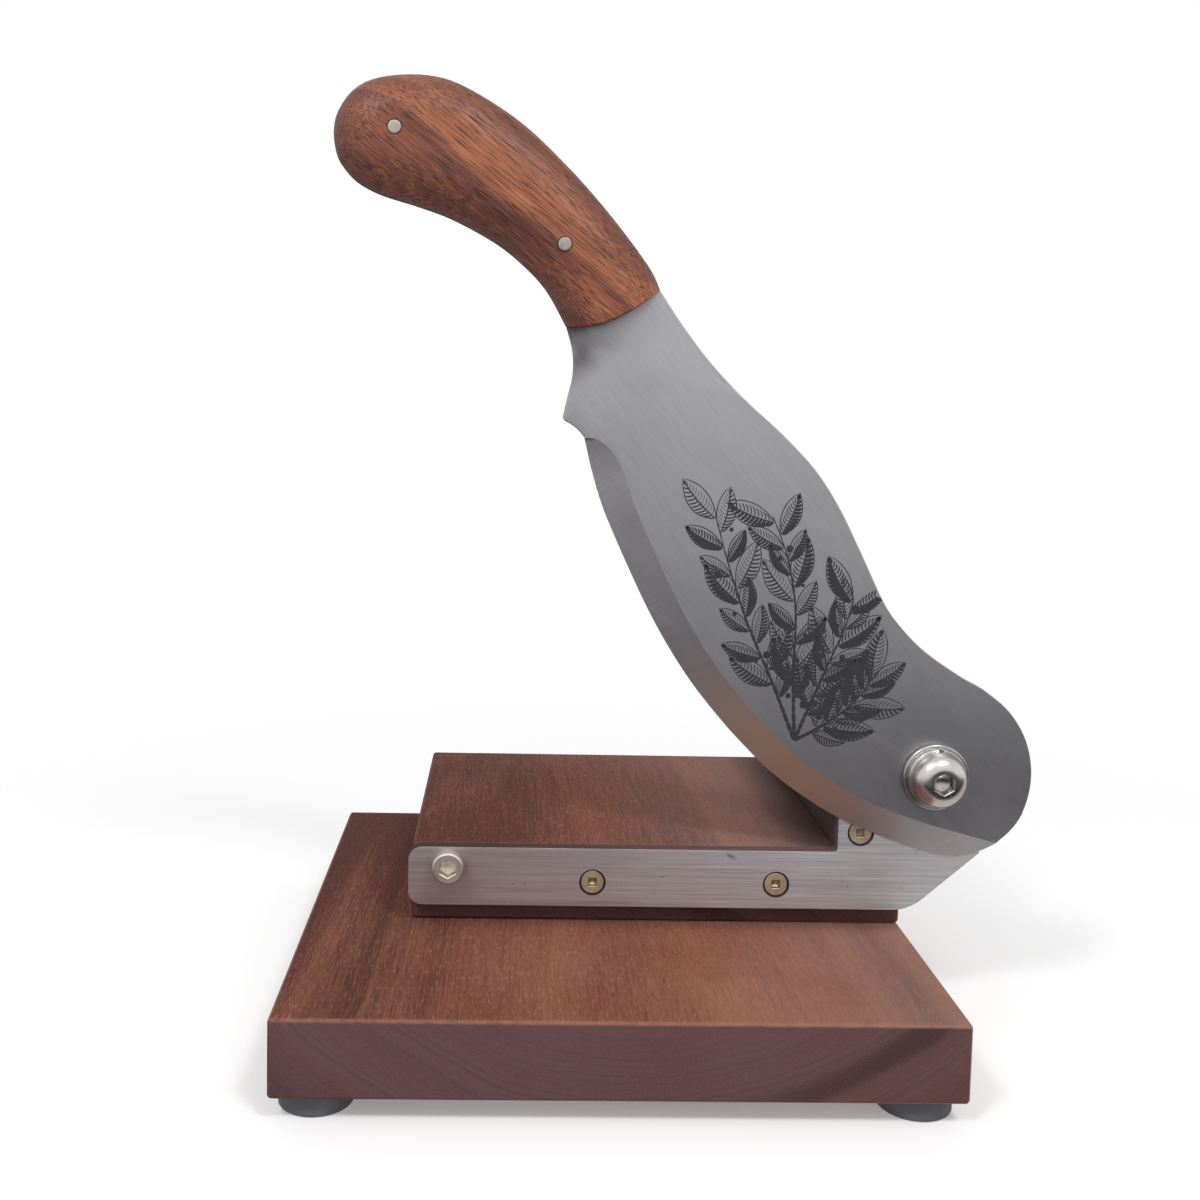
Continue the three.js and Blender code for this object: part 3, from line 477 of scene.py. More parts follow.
def blade_steel(name, colours):
    """Steel brushed along the blade; the ground bevel is brushed across it and, in its middle, takes a warm
    painted reflection of the boards. Scratches lie in patches; painted shade darkens the rims and the tang
    between the scales, a painted dark reflection lies towards the heel, and a painted shadow lies on the
    blade beside the handle."""
    steel = Finish(name, {"Specular IOR Level": 0.2})
    spot = steel.turned(PIVOT, OPEN_ANGLE)
    hair = steel.noise(spot, (130, 300, 3600), 3.0, 0.6)
    streak = steel.noise(spot, (22, 300, 900), 2.0, offset=4.0)
    cloud = steel.noise(spot, (30, 30, 60), 3.0, offset=8.0)
    cross = steel.noise(spot, (2300, 300, 60), 2.0, 0.6, offset=5.0)
    scratch = steel.noise(steel.turned(PIVOT, OPEN_ANGLE - 0.35), (26, 300, 1500), 0.0, offset=12.0)
    patch = steel.noise(spot, (60, 60, 60), 1.0, offset=1.0).rise(0.52, 0.66)
    ground = 1 - abs(steel.facing()[1]).rise(0.955, 0.985)
    lines = hair + ground * (cross - hair)
    tone = lines * 0.5 + streak * 0.16 + cloud * 0.3 + 0.02
    dull = times(0.8, colours.blade_steel)
    tint = steel.mix(tone.rise(0.25, 0.75), dull, colours.blade_steel)
    marks = scratch.rise(0.71, 0.75) * patch
    tint = steel.mix(marks * 0.25, tint, colours.bright_steel)
    # Painted shade on the blade's rims
    rim = 1 - abs(steel.facing()[1]).rise(0.25, 0.75)
    tint = steel.mix(rim * 0.5, tint, colours.grime_and_shade)
    notch = notch_point(bpy.context.scene.cutter_sizes)
    x, _, z = steel.split(spot)
    tang = (x * -1).rise(25 * MM - notch[0], 32 * MM - notch[0])
    beside = (x * -1).rise(12 * MM - notch[0], 23 * MM - notch[0])
    handle_shadow = beside * (1 - z.rise(notch[1] + 12 * MM, notch[1] + 30 * MM))
    # Painted dark reflection towards the heel, off the ground bevel
    heel_dark_reflection = x.rise(-75 * MM, 0) * (1 - ground)
    tint = steel.mix(heel_dark_reflection * 0.42, tint, times(0.5, colours.blade_steel))
    # Painted reflection of the boards, warm, in the middle of the ground bevel
    glow = ground * (1 - abs(x + 36 * MM).rise(8 * MM, 46 * MM))
    tint = steel.mix(glow, tint, colours.reflected_board_steel)
    # Painted shade on the tang between the scales, which is also made rough and not metallic; then a
    # painted shadow on the blade beside the handle
    tint = steel.mix(tang * 0.9, tint, colours.grime_and_shade)
    tint = steel.mix(handle_shadow * cloud.rise(0.25, 0.55) * 0.8, tint, colours.grime_and_shade)
    return steel.done(
        Base_Color=tint, Metallic=1 - tang, Roughness=0.36 + lines * 0.12 + ground * 0.06 + tang * 0.4,
        Normal=steel.relief(lines, 0.012 * MM, 0.25),
    )


def smooth_metal(name, tint, shine, grain):
    """Turned or plated metal: slight cloudiness and fine specks, with painted shade where the piece's
    record marks it.
    """
    metal = Finish(name, {"Metallic": 1.0})
    cloud = metal.noise(metal.place, (160, 160, 160), 3.0)
    fine = metal.noise(metal.place, (grain, grain, grain), 2.0, offset=3.0)
    dull = times(0.7, tint)
    base = metal.mix((cloud * 0.7 + fine * 0.4).rise(0.35, 0.7), dull, tint)
    # Painted shade where the piece's record marks it: in recesses and on shaded sides
    base = metal.mix(metal.wear() * 0.58, base, times(0.12, tint))
    return metal.done(
        Base_Color=base, Roughness=shine + cloud * 0.12, Normal=metal.relief(fine, 0.01 * MM, 0.15),
    )


def etched_mark(name, colours):
    """Dark oxide with a broken, grainy tone."""
    etch = Finish(name, {"Metallic": 0.4})
    grain = etch.noise(etch.place, (2600, 2600, 2600), 2.0)
    pale = times(1.9, colours.etch)
    tint = etch.mix(grain.rise(0.45, 0.8), colours.etch, pale)
    return etch.done(Base_Color=tint, Roughness=0.5 + grain * 0.2)


def moulded(name, tint, roughness):
    """Rubber or nylon with a fine moulded grain and dusty patches."""
    soft = Finish(name, {"IOR": 1.5, "Specular IOR Level": 0.4})
    grain = soft.noise(soft.place, (2200, 2200, 2200), 2.0)
    dust_and_sheen = soft.noise(soft.place, (160, 160, 160), 3.0, offset=4.0).rise(0.45, 0.75)
    pale = times(1.5, tint)
    base = soft.mix(dust_and_sheen * 0.6 + grain * 0.2, tint, pale)
    return soft.done(
        Base_Color=base, Roughness=roughness + grain * 0.12, Normal=soft.relief(grain, 0.03 * MM, 0.5),
    )


def finish(name, maker, *values):
    """The named material, made on first use."""
    return bpy.data.materials.get(name) or maker(name, *values)


def yellow_zinc(colours):
    return finish("yellow zinc", smooth_metal, colours.zinc, 0.44, 1500)


def bright_steel(colours):
    return finish("bright steel", smooth_metal, colours.bright_steel, 0.2, 2200)


# Surfaces

def inside(spots, loop):
    """Whether each spot lies inside a closed loop: the angles that the loop takes up, seen from it, add up
    to a full turn."""
    x, y = np.moveaxis(loop[None] - spots[:, None], -1, 0)
    seen = np.unwrap(np.arctan2(y, x), axis=1)
    close = (np.arctan2(y, x)[:, 0] - seen[:, -1] + np.pi) % (2 * np.pi) - np.pi
    return np.abs(seen[:, -1] + close - seen[:, 0]) > np.pi


class Shell:
    """One piece's surface, gathered from grids and flat caps that share their rims."""

    def __init__(self):
        self.points = []
        self.painted_lights = []
        self.faces = []
        self.smooth = []
        self.total = 0

    def add(self, points, faces, smooth, wear):
        self.faces += (np.asarray(faces) + self.total).tolist()
        self.smooth += [smooth] * len(faces)
        self.points.append(points)
        self.painted_lights.append(np.broadcast_to(wear, len(points)))
        self.total += len(points)

    def grid(self, rows, wear=0.0, around=True):
        """Quads over points[row, column]; around joins the last column to the first."""
        count, width = rows.shape[:2]
        index = np.arange(count * width).reshape(count, width)
        beside = np.roll(index, -1, axis=1)
        if not around:
            index, beside = index[:, :-1], beside[:, :-1]
        quads = np.stack([index[:-1], beside[:-1], beside[1:], index[1:]], axis=-1).reshape(-1, 4)
        spread = np.broadcast_to(np.reshape(wear, (-1, 1)), (count, width)).ravel()
        self.add(rows.reshape(-1, 3), quads, True, spread)

    def cap(self, *rings):
        """Flat triangles inside the first ring and outside the others; all lie square to one axis."""
        points = np.vstack(rings)
        flat = int(np.argmin(np.ptp(points, axis=0)))
        plane = [axis for axis in range(3) if axis != flat]
        starts = np.cumsum([0] + [len(r) for r in rings[:-1]])
        index = [start + np.arange(len(r)) for start, r in zip(starts, rings)]
        links = np.vstack([np.column_stack([i, np.roll(i, -1)]) for i in index])
        corners = [Vector(p) for p in points[:, plane]]
        spots, _, faces, *_ = delaunay_2d_cdt(corners, links.tolist(), [], 4, 1e-7)
        spots, faces = np.array(spots), np.array(faces)
        middles = spots[faces].mean(axis=1)
        for hole in rings[1:]:
            keep = ~inside(middles, hole[:, plane])
            middles, faces = middles[keep], faces[keep]
        solid = np.full((len(spots), 3), points[0, flat])
        solid[:, plane] = spots
        self.add(solid, faces, False, 0.0)

    def cover(self, node, material, body, slot, sharp=SHARP_ANGLE):
        """The piece that stands in for one solid, named after it."""
        return self.piece(piece_name(node), material, body, slot, node, sharp=sharp)

    def piece(self, name, material, body, slot, *nodes, sharp=SHARP_ANGLE):
        """Welds the rims, turns the faces outward and hands the piece to its body."""
        mesh = bpy.data.meshes.new(name)
        mesh.from_pydata(np.vstack(self.points).tolist(), [], self.faces)
        mesh.polygons.foreach_set("use_smooth", self.smooth)
        wear = mesh.attributes.new("wear", "FLOAT", "POINT")
        wear.data.foreach_set("value", np.concatenate(self.painted_lights).astype(np.float32))
        work = bmesh.new()
        work.from_mesh(mesh)
        bmesh.ops.remove_doubles(work, verts=work.verts, dist=WELD)
        bmesh.ops.recalc_face_normals(work, faces=work.faces)
        work.to_mesh(mesh)
        work.free()
        mesh.set_sharp_from_angle(angle=sharp)
        mesh.materials.append(material)
        made = bpy.data.objects.new(name, mesh)
        bpy.context.scene.collection.objects.link(made)
        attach(made, body)
        if nodes:
            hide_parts(*nodes)
        return made


ANGLES = np.linspace(0, 2 * np.pi, AROUND, endpoint=False)


def polygon(across_flats, sides):
    """Radius of a regular polygon in each direction round its centre."""
    half = np.pi / sides
    return across_flats / 2 / np.cos((ANGLES + half) % (2 * half) - half)


def turn(shell, centre, axis, rows, wear=0.0):
    """Rows of (radius, along) carried round an axis through centre; a radius may vary with direction."""
    radii = np.stack([np.broadcast_to(r, AROUND) for r, _ in rows])
    along = np.array([a for _, a in rows])
    sides = [k for k in range(3) if k != axis]
    points = np.empty((len(rows), AROUND, 3))
    points[..., sides[0]] = centre[sides[0]] + radii * np.cos(ANGLES)
    points[..., sides[1]] = centre[sides[1]] + radii * np.sin(ANGLES)
    points[..., axis] = centre[axis] + along[:, None]
    shell.grid(points, wear)
    return points


def turned_piece(node, centre, axis, rows, material, slot, body="base", wear=0.0):
    """Rows carried round an axis, as the piece that stands in for one solid."""
    shell = Shell()
    turn(shell, centre, axis, rows, wear)
    shell.cover(node, material, body, slot)


def quarter(radius, along, size, start, steps=5):
    """A quarter round of (radius, along) rows about a centre, from an angle in quarter turns."""
    angle = np.linspace(start, start + 1, steps) * np.pi / 2
    return list(zip(radius + size * np.cos(angle), along + size * np.sin(angle)))


def arc(centre, radius, start, end, steps):
    """Points on a circle in a plane, between two angles in degrees."""
    angle = np.radians(np.linspace(start, end, steps))
    return np.asarray(centre) + radius * np.column_stack([np.cos(angle), np.sin(angle)])


def quadratic(start, bend, end, t):
    """Places at shares t of a curve that sets out towards bend."""
    return (1 - t) ** 2 * start + 2 * t * (1 - t) * bend + t**2 * end


def even(points, count):
    """A polyline resampled to count steps of equal length."""
    steps = np.linalg.norm(np.diff(points, axis=0), axis=1)
    reach = np.concatenate([[0], np.cumsum(steps)])
    wanted = np.linspace(0, reach[-1], count + 1)
    return np.column_stack([np.interp(wanted, reach, column) for column in points.T])


def smooth_curve(points, count):
    """Catmull-Rom curve through the points, in count steps of equal length."""
    known = np.asarray(points, float)
    padded = np.vstack([known[:1], known, known[-1:]])
    t = np.linspace(0, len(known) - 1, 60 * len(known))
    i = np.minimum(t.astype(int), len(known) - 2)
    f = (t - i)[:, None]
    a, b, c, d = (padded[i + k] for k in range(4))
    cubic = (3 * b - a - 3 * c + d) * f**3
    dense = 0.5 * (2 * b + (c - a) * f + (2 * a - 5 * b + 4 * c - d) * f**2 + cubic)
    return even(dense, count)


def outward(loop):
    """Unit normals that point out of a closed counter-clockwise loop."""
    ahead = np.roll(loop, -1, axis=0) - np.roll(loop, 1, axis=0)
    normal = np.column_stack([ahead[:, 1], -ahead[:, 0]])
    return normal / np.linalg.norm(normal, axis=1, keepdims=True)


def upright(loop, y):
    """Points of a loop in X and Z, stood at a depth."""
    return np.column_stack([loop[:, 0], np.full(len(loop), y), loop[:, 1]])


EDGE_STEPS = 8
EDGE_TURN = np.linspace(0, np.pi / 2, EDGE_STEPS)
# How much of the boards' painted highlight each ring of a quarter round takes
EDGE_HIGHLIGHT = np.sin(2 * EDGE_TURN)
RIMS_HIGHLIGHT = np.concatenate([EDGE_HIGHLIGHT[::-1], EDGE_HIGHLIGHT])


def rounded_edge(radius):
    """How far each ring of a quarter round lies in from the side, and from the face, side first."""
    return radius * (1 - np.cos(EDGE_TURN)), radius * (1 - np.sin(EDGE_TURN))


# Boards

def rounded_rectangle(low, high, radius):
    """Four quarter arcs joined by straight lines, counter-clockwise."""
    left, bottom = low[0] + radius, low[1] + radius
    right, top = high[0] - radius, high[1] - radius
    middles_x = np.repeat([right, left, left, right], EDGE_STEPS)
    middles_y = np.repeat([top, top, bottom, bottom], EDGE_STEPS)
    angle = np.concatenate([EDGE_TURN + k * np.pi / 2 for k in range(4)])
    return np.column_stack([middles_x + radius * np.cos(angle), middles_y + radius * np.sin(angle)])


def board(shell, node, radius, pits=()):
    """Rounded rectangle carried up a profile with a quarter round at both ends; pits are rims of holes
    below."""
    low, high = node_box(node)
    insets, rises = rounded_edge(radius)
    profile = [(i, low[2] + r) for i, r in zip(insets[::-1], rises[::-1])]
    profile += [(i, high[2] - r) for i, r in zip(insets, rises)]
    rings = []
    for inset, z in profile:
        ring = rounded_rectangle(low[:2] + inset, high[:2] - inset, radius - inset + WELD)
        rings.append(np.column_stack([ring, np.full(len(ring), z)]))
    shell.grid(np.stack(rings), RIMS_HIGHLIGHT)
    shell.cap(rings[0], *pits)
    shell.cap(rings[-1])


SCREW_SEAT_GAP = 0.3 * MM
SCREW_RIM = 0.45 * MM
SCREW_SINK = 0.4 * MM
COLLAR = 0.15 * MM


class CUTTER_OT_boards(bpy.types.Operator):
    """Base board, cutting block and end stop"""

    bl_idname = "cutter.boards"
    bl_label = "Boards"

    def execute(self, context):
        sizes, colours = context.scene.cutter_sizes, context.scene.cutter_colours
        low, high = node_box("base_board")
        wide = high[0] - low[0]
        stop_left = node_box("end_stop")[0][0]
        everywhere, nowhere = -1.0, 1.0
        # Pith, shade (the board's tone; for the end stop, painted shade), dark ring, where the painted
        # shade starts, the axis that the shaded side faces, strength of the painted highlight on the edges
        looks = {
            "base_board": (
                (low[0] + 0.53 * wide, high[2] + 91.5 * MM), 0.02, 118.2 * MM, nowhere, 2, 0.75,
            ),
            "cutting_block": (
                (low[0] + 0.30 * wide, low[2] - 96 * MM), -0.15, 142 * MM, stop_left, 2, 0.3,
            ),
            "end_stop": ((high[0] + 40 * MM, low[2] - 60 * MM), -0.3, 80 * MM, everywhere, 0, 0.5),
        }
        for node, look in looks.items():
            shell = Shell()
            pits = []
            if node == "base_board":
                for screw in BLOCK_SCREWS:
                    pits.append(screw_pit(shell, screw))
            board(shell, node, sizes.wood_round, pits)
            wood = finish(f"stained wood {node}", stained_wood, colours, *look)
            shell.cover(node, wood, "base", "stained_wood")
        return {"FINISHED"}


# Wood screws

BLOCK_SCREWS = [f"block_screw_{end}_{side}" for end in ("front", "back") for side in ("left", "right")]
PLATE_SCREWS = ["plate_screw_left", "plate_screw_right", "ear_screw"]
END_STOP_SCREWS = ["end_stop_screw_front", "end_stop_screw_back"]
PLATE_SHANK = 2 * MM
BLOCK_SHANK = 2.5 * MM
SQUARE_DRIVE = 2.7 * MM


def screw_facts(node):
    """Head centre, axis, head radius and length of a wood screw, from its solid's box."""
    low, high = node_box(node)
    axis = int(np.argmax(high - low))
    return low_end(node, axis), axis, np.sort(high - low)[1] / 2, high[axis] - low[axis]


def screw_pit(shell, node):
    """Countersink in a board's underside; gives its rim."""
    head, axis, radius, _ = screw_facts(node)
    outer = radius + SCREW_SEAT_GAP
    seat = SCREW_RIM + SCREW_SEAT_GAP
    rows = [(outer + COLLAR, -SCREW_SINK), (outer, COLLAR - SCREW_SINK), (outer, seat)]
    rows += [(radius / 2, seat + radius / 2), (0, seat + radius / 2)]
    return turn(shell, head, axis, rows)[0]


def wood_screw(node, shank, material):
    """Tip, shank, cone and flat head carried round the axis, then a square recess with a pyramid floor."""
    head, axis, radius, reach = screw_facts(node)
    radius -= COLLAR
    cone = SCREW_RIM + radius - shank
    recess = polygon(SQUARE_DRIVE, 4)
    soft = 0.12 * MM
    rows = [(0, reach), (shank, reach - 2 * shank), (shank, cone), (radius, SCREW_RIM), (radius, soft)]
    rows += [(radius - soft, 0), (recess + soft, 0), (recess, soft)]
    rows += [(0.86 * recess, 1.1 * MM), (0, 1.9 * MM)]
    # Painted shade in the square recess
    shade = [0, 0, 0, 0, 0, 0, 0, 0.2, 1, 0.3]
    turned_piece(node, head, axis, rows, material, "yellow_zinc", wear=shade)


class CUTTER_OT_wood_screws(bpy.types.Operator):
    """Countersunk screws of the plate, the block and the end stop"""

    bl_idname = "cutter.wood_screws"
    bl_label = "Wood screws"

    def execute(self, context):
        colours = context.scene.cutter_colours
        zinc = yellow_zinc(colours)
        for node in PLATE_SCREWS + END_STOP_SCREWS:
            wood_screw(node, PLATE_SHANK, zinc)
        for node in BLOCK_SCREWS:
            wood_screw(node, BLOCK_SHANK, zinc)
        return {"FINISHED"}


# Side plate

PLATE_CORNER = 4.5 * MM
PLATE_TOE = 6 * MM
EAR_TOE_RUN = 22 * MM
EAR_INNER = 1 * MM
STOP_BORE = 3.3 * MM


def plate_outline():
    """Bar with round left corners, an ear with a round top and a slanted toe, counter-clockwise in X and
    Z."""
    low, high = node_box("side_plate")
    left, bottom, right, top = low[0], low[2], high[0], high[2]
    bar_top = node_box("cutting_block")[1][2]
    ear = node_box("end_stop")[0][0]
    corner, toe = PLATE_CORNER, np.array([right - EAR_TOE_RUN, bottom])
    slope = np.array([EAR_TOE_RUN, bar_top - bottom])
    slope *= PLATE_TOE / np.linalg.norm(slope)
    t = np.linspace(0, 1, 12)[:, None]
    bend = quadratic(toe - (PLATE_TOE, 0), toe, toe + slope, t)
    margin = right - PIVOT[0]
    return np.vstack([
        arc((left + corner, bottom + corner), corner, 180, 270, 12),
        bend,
        [(right, bar_top)],
        arc((PIVOT[0], PIVOT[2]), margin, 0, 90, 32),
        arc((ear + corner, top - corner), corner, 90, 180, 12),
        arc((ear - EAR_INNER, bar_top + EAR_INNER), EAR_INNER, 0, -90, 8),
        arc((left + corner, bar_top - corner), corner, 90, 180, 12),
    ])


def slab_rings(loop, front, back, radius):
    """Rings of a flat piece from its front rim to its back rim, with a quarter round on both."""
    normal = outward(loop)
    insets, rises = rounded_edge(radius)
    rings = [upright(loop - i * normal, front + r) for i, r in zip(insets[::-1], rises[::-1])]
    rings += [upright(loop - i * normal, back - r) for i, r in zip(insets, rises)]
    return np.stack(rings)


class CUTTER_OT_side_plate(bpy.types.Operator):
    """Brushed side plate with its countersunk holes"""

    bl_idname = "cutter.side_plate"
    bl_label = "Side plate"

    def execute(self, context):
        sizes, colours = context.scene.cutter_sizes, context.scene.cutter_colours
        low, high = node_box("side_plate")
        depth = high[1] - low[1]
        shell = Shell()
        rings = slab_rings(plate_outline(), low[1], high[1], sizes.steel_round)
        shell.grid(rings, RIMS_HIGHLIGHT)
        fronts, backs = [rings[0]], [rings[-1]]
        for node in PLATE_SCREWS:
            head, axis, radius, _ = screw_facts(node)
            head[1] = low[1]
            outer, inner = radius + SCREW_SEAT_GAP, radius / 2 + SCREW_SEAT_GAP
            seat = SCREW_SINK + SCREW_RIM + SCREW_SEAT_GAP
            rows = [(outer + COLLAR, 0), (outer, COLLAR), (outer, seat), (inner, seat + outer - inner)]
            rows.append((inner, depth))
            hole = turn(shell, head, axis, rows, [1, 0.6, 0, 0, 0])
            fronts.append(hole[0])
            backs.append(hole[-1])
        stop = node_middle("stop_screw")
        for centre, radius in ((stop, STOP_BORE), (PIVOT, sizes.bolt_bore)):
            hole = turn(shell, (centre[0], low[1], centre[2]), 1, [(radius, 0), (radius, depth)])
            fronts.append(hole[0])
            backs.append(hole[-1])
        shell.cap(*fronts)
        shell.cap(*backs)
        steel = finish("plate steel", plate_steel, colours)
        shell.cover("side_plate", steel, "base", "plate_steel")
        return {"FINISHED"}


# Feet

FOOT_PLACES = [f"{end}_{side}" for end in ("front", "back") for side in ("left", "right")]
FOOT_BORE = 2.3 * MM
FOOT_RIM = 0.4 * MM
PAN_SHANK = 2 * MM


def ring_rows(inner, outer, start, end, soft):
    """Section of a ring with rounded outer corners and broken inner ones, closed on itself."""
    rows = [(inner + soft, start)]
    rows += quarter(outer - soft, start + soft, soft, -1)
    rows += quarter(outer - soft, end - soft, soft, 0)
    rows += [(inner + soft, end), (inner, end - soft), (inner, start + soft), (inner + soft, start)]
    return rows


class CUTTER_OT_feet(bpy.types.Operator):
    """Rubber feet, each with its washer and screw"""

    bl_idname = "cutter.feet"
    bl_label = "Feet"

    def execute(self, context):
        sizes, colours = context.scene.cutter_sizes, context.scene.cutter_colours
        rubber = finish("black rubber", moulded, colours.rubber, 0.62)
        bright = bright_steel(colours)
        zinc = yellow_zinc(colours)
        for place in FOOT_PLACES:
            self.foot(place, sizes, rubber, bright, zinc)
        return {"FINISHED"}

    def foot(self, place, sizes, rubber, bright, zinc):
        """Cupped rubber ring, then its washer, then the pan head screw with a square recess."""
        foot, washer, screw = (f"{kind}_{place}" for kind in ("foot", "foot_washer", "foot_screw"))
        centre = low_end(foot, 2)
        top = node_box(foot)[1][2] - centre[2]
        seat, floor = (corner[2] - centre[2] for corner in node_box(washer))
        face, tip = (corner[2] - centre[2] for corner in node_box(screw))
        radius, rim, head, lip = half_width(foot), half_width(washer), half_width(screw), sizes.foot_lip
        cup = rim + SCREW_SEAT_GAP
        rows = [(FOOT_BORE, top), (FOOT_BORE, floor), (cup, floor), (cup, lip)]
        rows += quarter(cup + lip, lip, lip, 2)
        rows += quarter(radius - lip, lip, lip, -1, 8)
        rows += quarter(radius - FOOT_RIM, top - FOOT_RIM, FOOT_RIM, 0)
        rows.append((FOOT_BORE, top))
        turned_piece(foot, centre, 2, rows, rubber, "black_rubber")
        rows = ring_rows(FOOT_BORE, rim, seat, floor, 0.15 * MM)
        turned_piece(washer, centre, 2, rows, bright, "bright_steel")
        recess, soft = polygon(SQUARE_DRIVE, 4), 0.1 * MM
        crown = [(head * math.cos(a), seat - (seat - face) * math.sin(a)) for a in EDGE_TURN[:5]]
        rows = [(0, tip), (PAN_SHANK, tip - 4 * MM), (PAN_SHANK, seat), *crown]
        rows += [(recess + soft, face), (recess, face + soft)]
        rows += [(0.9 * recess, face + MM), (0, face + 1.5 * MM)]
        turned_piece(screw, centre, 2, rows, zinc, "yellow_zinc")


# Stop screw and pivot

def hex_socket(flats, front, depth):
    """Rows of a hexagonal socket: broken rim, straight walls and a drilled cone."""
    walls = polygon(flats, 6)
    soft = 0.25 * MM
    return [
        (walls + soft, front), (walls, front + soft), (walls, front + depth),
        (0.93 * flats / 2, front + depth), (0, front + depth + flats / 4),
    ]


def socket_shade(rows):
    """How dark each row of the bolt is: only the socket's walls and floor, which come last."""
    return np.concatenate([np.zeros(len(rows) - 4), [0.0, 0.5, 0.6, 0.35]])


class CUTTER_OT_stop_screw(bpy.types.Operator):
    """Socket cap screw that the blade comes down on"""

    bl_idname = "cutter.stop_screw"
    bl_label = "Stop screw"

    def execute(self, context):
        colours = context.scene.cutter_colours
        bright = finish("stop steel", smooth_metal, colours.stop_steel, 0.4, 2200)
        low, high = node_box("stop_screw")
        head, soft = half_width("stop_screw"), 0.55 * MM
        seat, tip = node_box("side_plate")[0][1] - low[1], high[1] - low[1]
        knurl = head - 0.14 * MM * (np.arange(AROUND) % 4 > 1)
        rows = [(0, tip), (2.5 * MM, tip), (3 * MM, tip - 0.6 * MM), (3 * MM, seat)]
        rows += [(head - 0.2 * MM, seat), (knurl, seat - 0.3 * MM), (knurl, soft + 0.7 * MM)]
        rows += [(head, soft + 0.5 * MM), (head, soft)]
        sides = len(rows)
        rows += [(head - 0.35 * soft, 0.3 * soft), (head - soft, 0), *hex_socket(5 * MM, 0, 3.2 * MM)]
        # Painted shade on the shank and the head's side
        side_shade = np.concatenate([np.full(sides, 0.8), np.zeros(len(rows) - sides)])
        turned_piece("stop_screw", low_end("stop_screw", 1), 1, rows, bright, "bright_steel", wear=side_shade)
        return {"FINISHED"}


class CUTTER_OT_pivot(bpy.types.Operator):
    """Pivot bolt, washers and lock nut"""

    bl_idname = "cutter.pivot"
    bl_label = "Pivot"

    def execute(self, context):
        colours = context.scene.cutter_colours
        self.bright = bright_steel(colours)
        self.bore = context.scene.cutter_sizes.bolt_bore
        self.bolt()
        self.spring_washer()
        for node in ("pivot_washer_front", "pivot_washer_rear"):
            self.ring(node, self.bright, "bright_steel", 0.35 * MM)
        self.lock_nut()
        nylon = finish("white nylon", moulded, colours.nylon, 0.45)
        self.ring("lock_nut_insert", nylon, "white_nylon", 0.3 * MM)
        return {"FINISHED"}

    def ring(self, node, material, slot, soft):
        low, high = node_box(node)
        rows = ring_rows(self.bore, half_width(node), low[1], high[1], soft)
        turned_piece(node, (PIVOT[0], 0, PIVOT[2]), 1, rows, material, slot)

    def bolt(self):
        """End, thread and shank, then the head: a quarter ellipse from its rim to the flat round the
        socket."""
        low, high = node_box("pivot_bolt")
        seat = node_box("pivot_spring_washer")[0][1] - low[1]
        end, rim, shank = high[1] - low[1], half_width("pivot_bolt"), 5 * MM
        flats, pitch = 6 * MM, 0.75 * MM
        thread = [(shank - pitch * (k % 2), end - 0.8 * MM - pitch * k) for k in range(6)]
        socket = hex_socket(flats, 0, 3 * MM)
        flat = flats / math.sqrt(3) + 0.5 * MM
        angle = np.linspace(0.06, 1, 18) * np.pi / 2
        dome = list(zip(flat + (rim - flat) * np.cos(angle), seat * (1 - np.sin(angle))))
        rows = [(0, end), (shank - 0.9 * MM, end), *thread, (shank, seat), (rim - 0.3 * MM, seat)]
        rows += [*dome, *socket]
        centre, shade = (PIVOT[0], low[1], PIVOT[2]), socket_shade(rows)
        turned_piece("pivot_bolt", centre, 1, rows, self.bright, "bright_steel", wear=shade)

    def spring_washer(self):
        """Rounded rectangle carried round the bolt, rising a little, with a slanted split at the top."""
        low, high = node_box("pivot_spring_washer")
        outer, thick = half_width("pivot_spring_washer"), high[1] - low[1]
        split, lean, lift = 1.6 * MM, math.tan(math.radians(30)), 0.12
        section = rounded_rectangle((self.bore, 0.06 * thick), (outer, 0.82 * thick), 0.3 * MM)
        reach = np.linspace(0, 1, AROUND)[:, None]
        slant = lean * (section[:, 1] - thick / 2) / outer
        angle = np.pi / 2 + split / 2 / outer + reach * (2 * np.pi - split / outer) + slant
        points = np.empty((AROUND, len(section), 3))
        points[..., 0] = PIVOT[0] + section[:, 0] * np.cos(angle)
        points[..., 1] = low[1] + section[:, 1] + lift * thick * reach
        points[..., 2] = PIVOT[2] + section[:, 0] * np.sin(angle)
        shell = Shell()
        shell.grid(points)
        for end in (points[0], points[-1]):
            shell.add(end, [list(range(len(section)))], False, 0.0)
        shell.cover("pivot_spring_washer", self.bright, "base", "bright_steel")

    def lock_nut(self):
        """Chamfered hexagon, then a round collar that curls in over the insert."""
        low, high = node_box("pivot_lock_nut")
        hex_end = node_box("lock_nut_insert")[0][1] - low[1]
        end, flats = high[1] - low[1], 17 * MM
        walls, curl = polygon(flats, 6), 0.8 * MM
        collar = flats / 2 - 0.3 * MM
        pocket = collar - 1.3 * MM
        trim = [(flats / 2 - 0.1 * MM + 1.5 * k * MM, 0.8 * k * MM) for k in np.linspace(0, 1, 5)]
        rows = [(self.bore, 0.4 * MM), (self.bore + 0.4 * MM, 0)]
        rows += [(np.minimum(walls, r), a) for r, a in trim]
        rows += [(np.minimum(walls, r), hex_end - 0.6 * a) for r, a in reversed(trim)]
        rows += [(collar, hex_end), *quarter(collar - curl, end - curl, curl, 0), (pocket, end)]
        rows += [(pocket, hex_end), (self.bore, hex_end), (self.bore, 0.4 * MM)]
        centre = (PIVOT[0], low[1], PIVOT[2])
        turned_piece("pivot_lock_nut", centre, 1, rows, self.bright, "bright_steel")


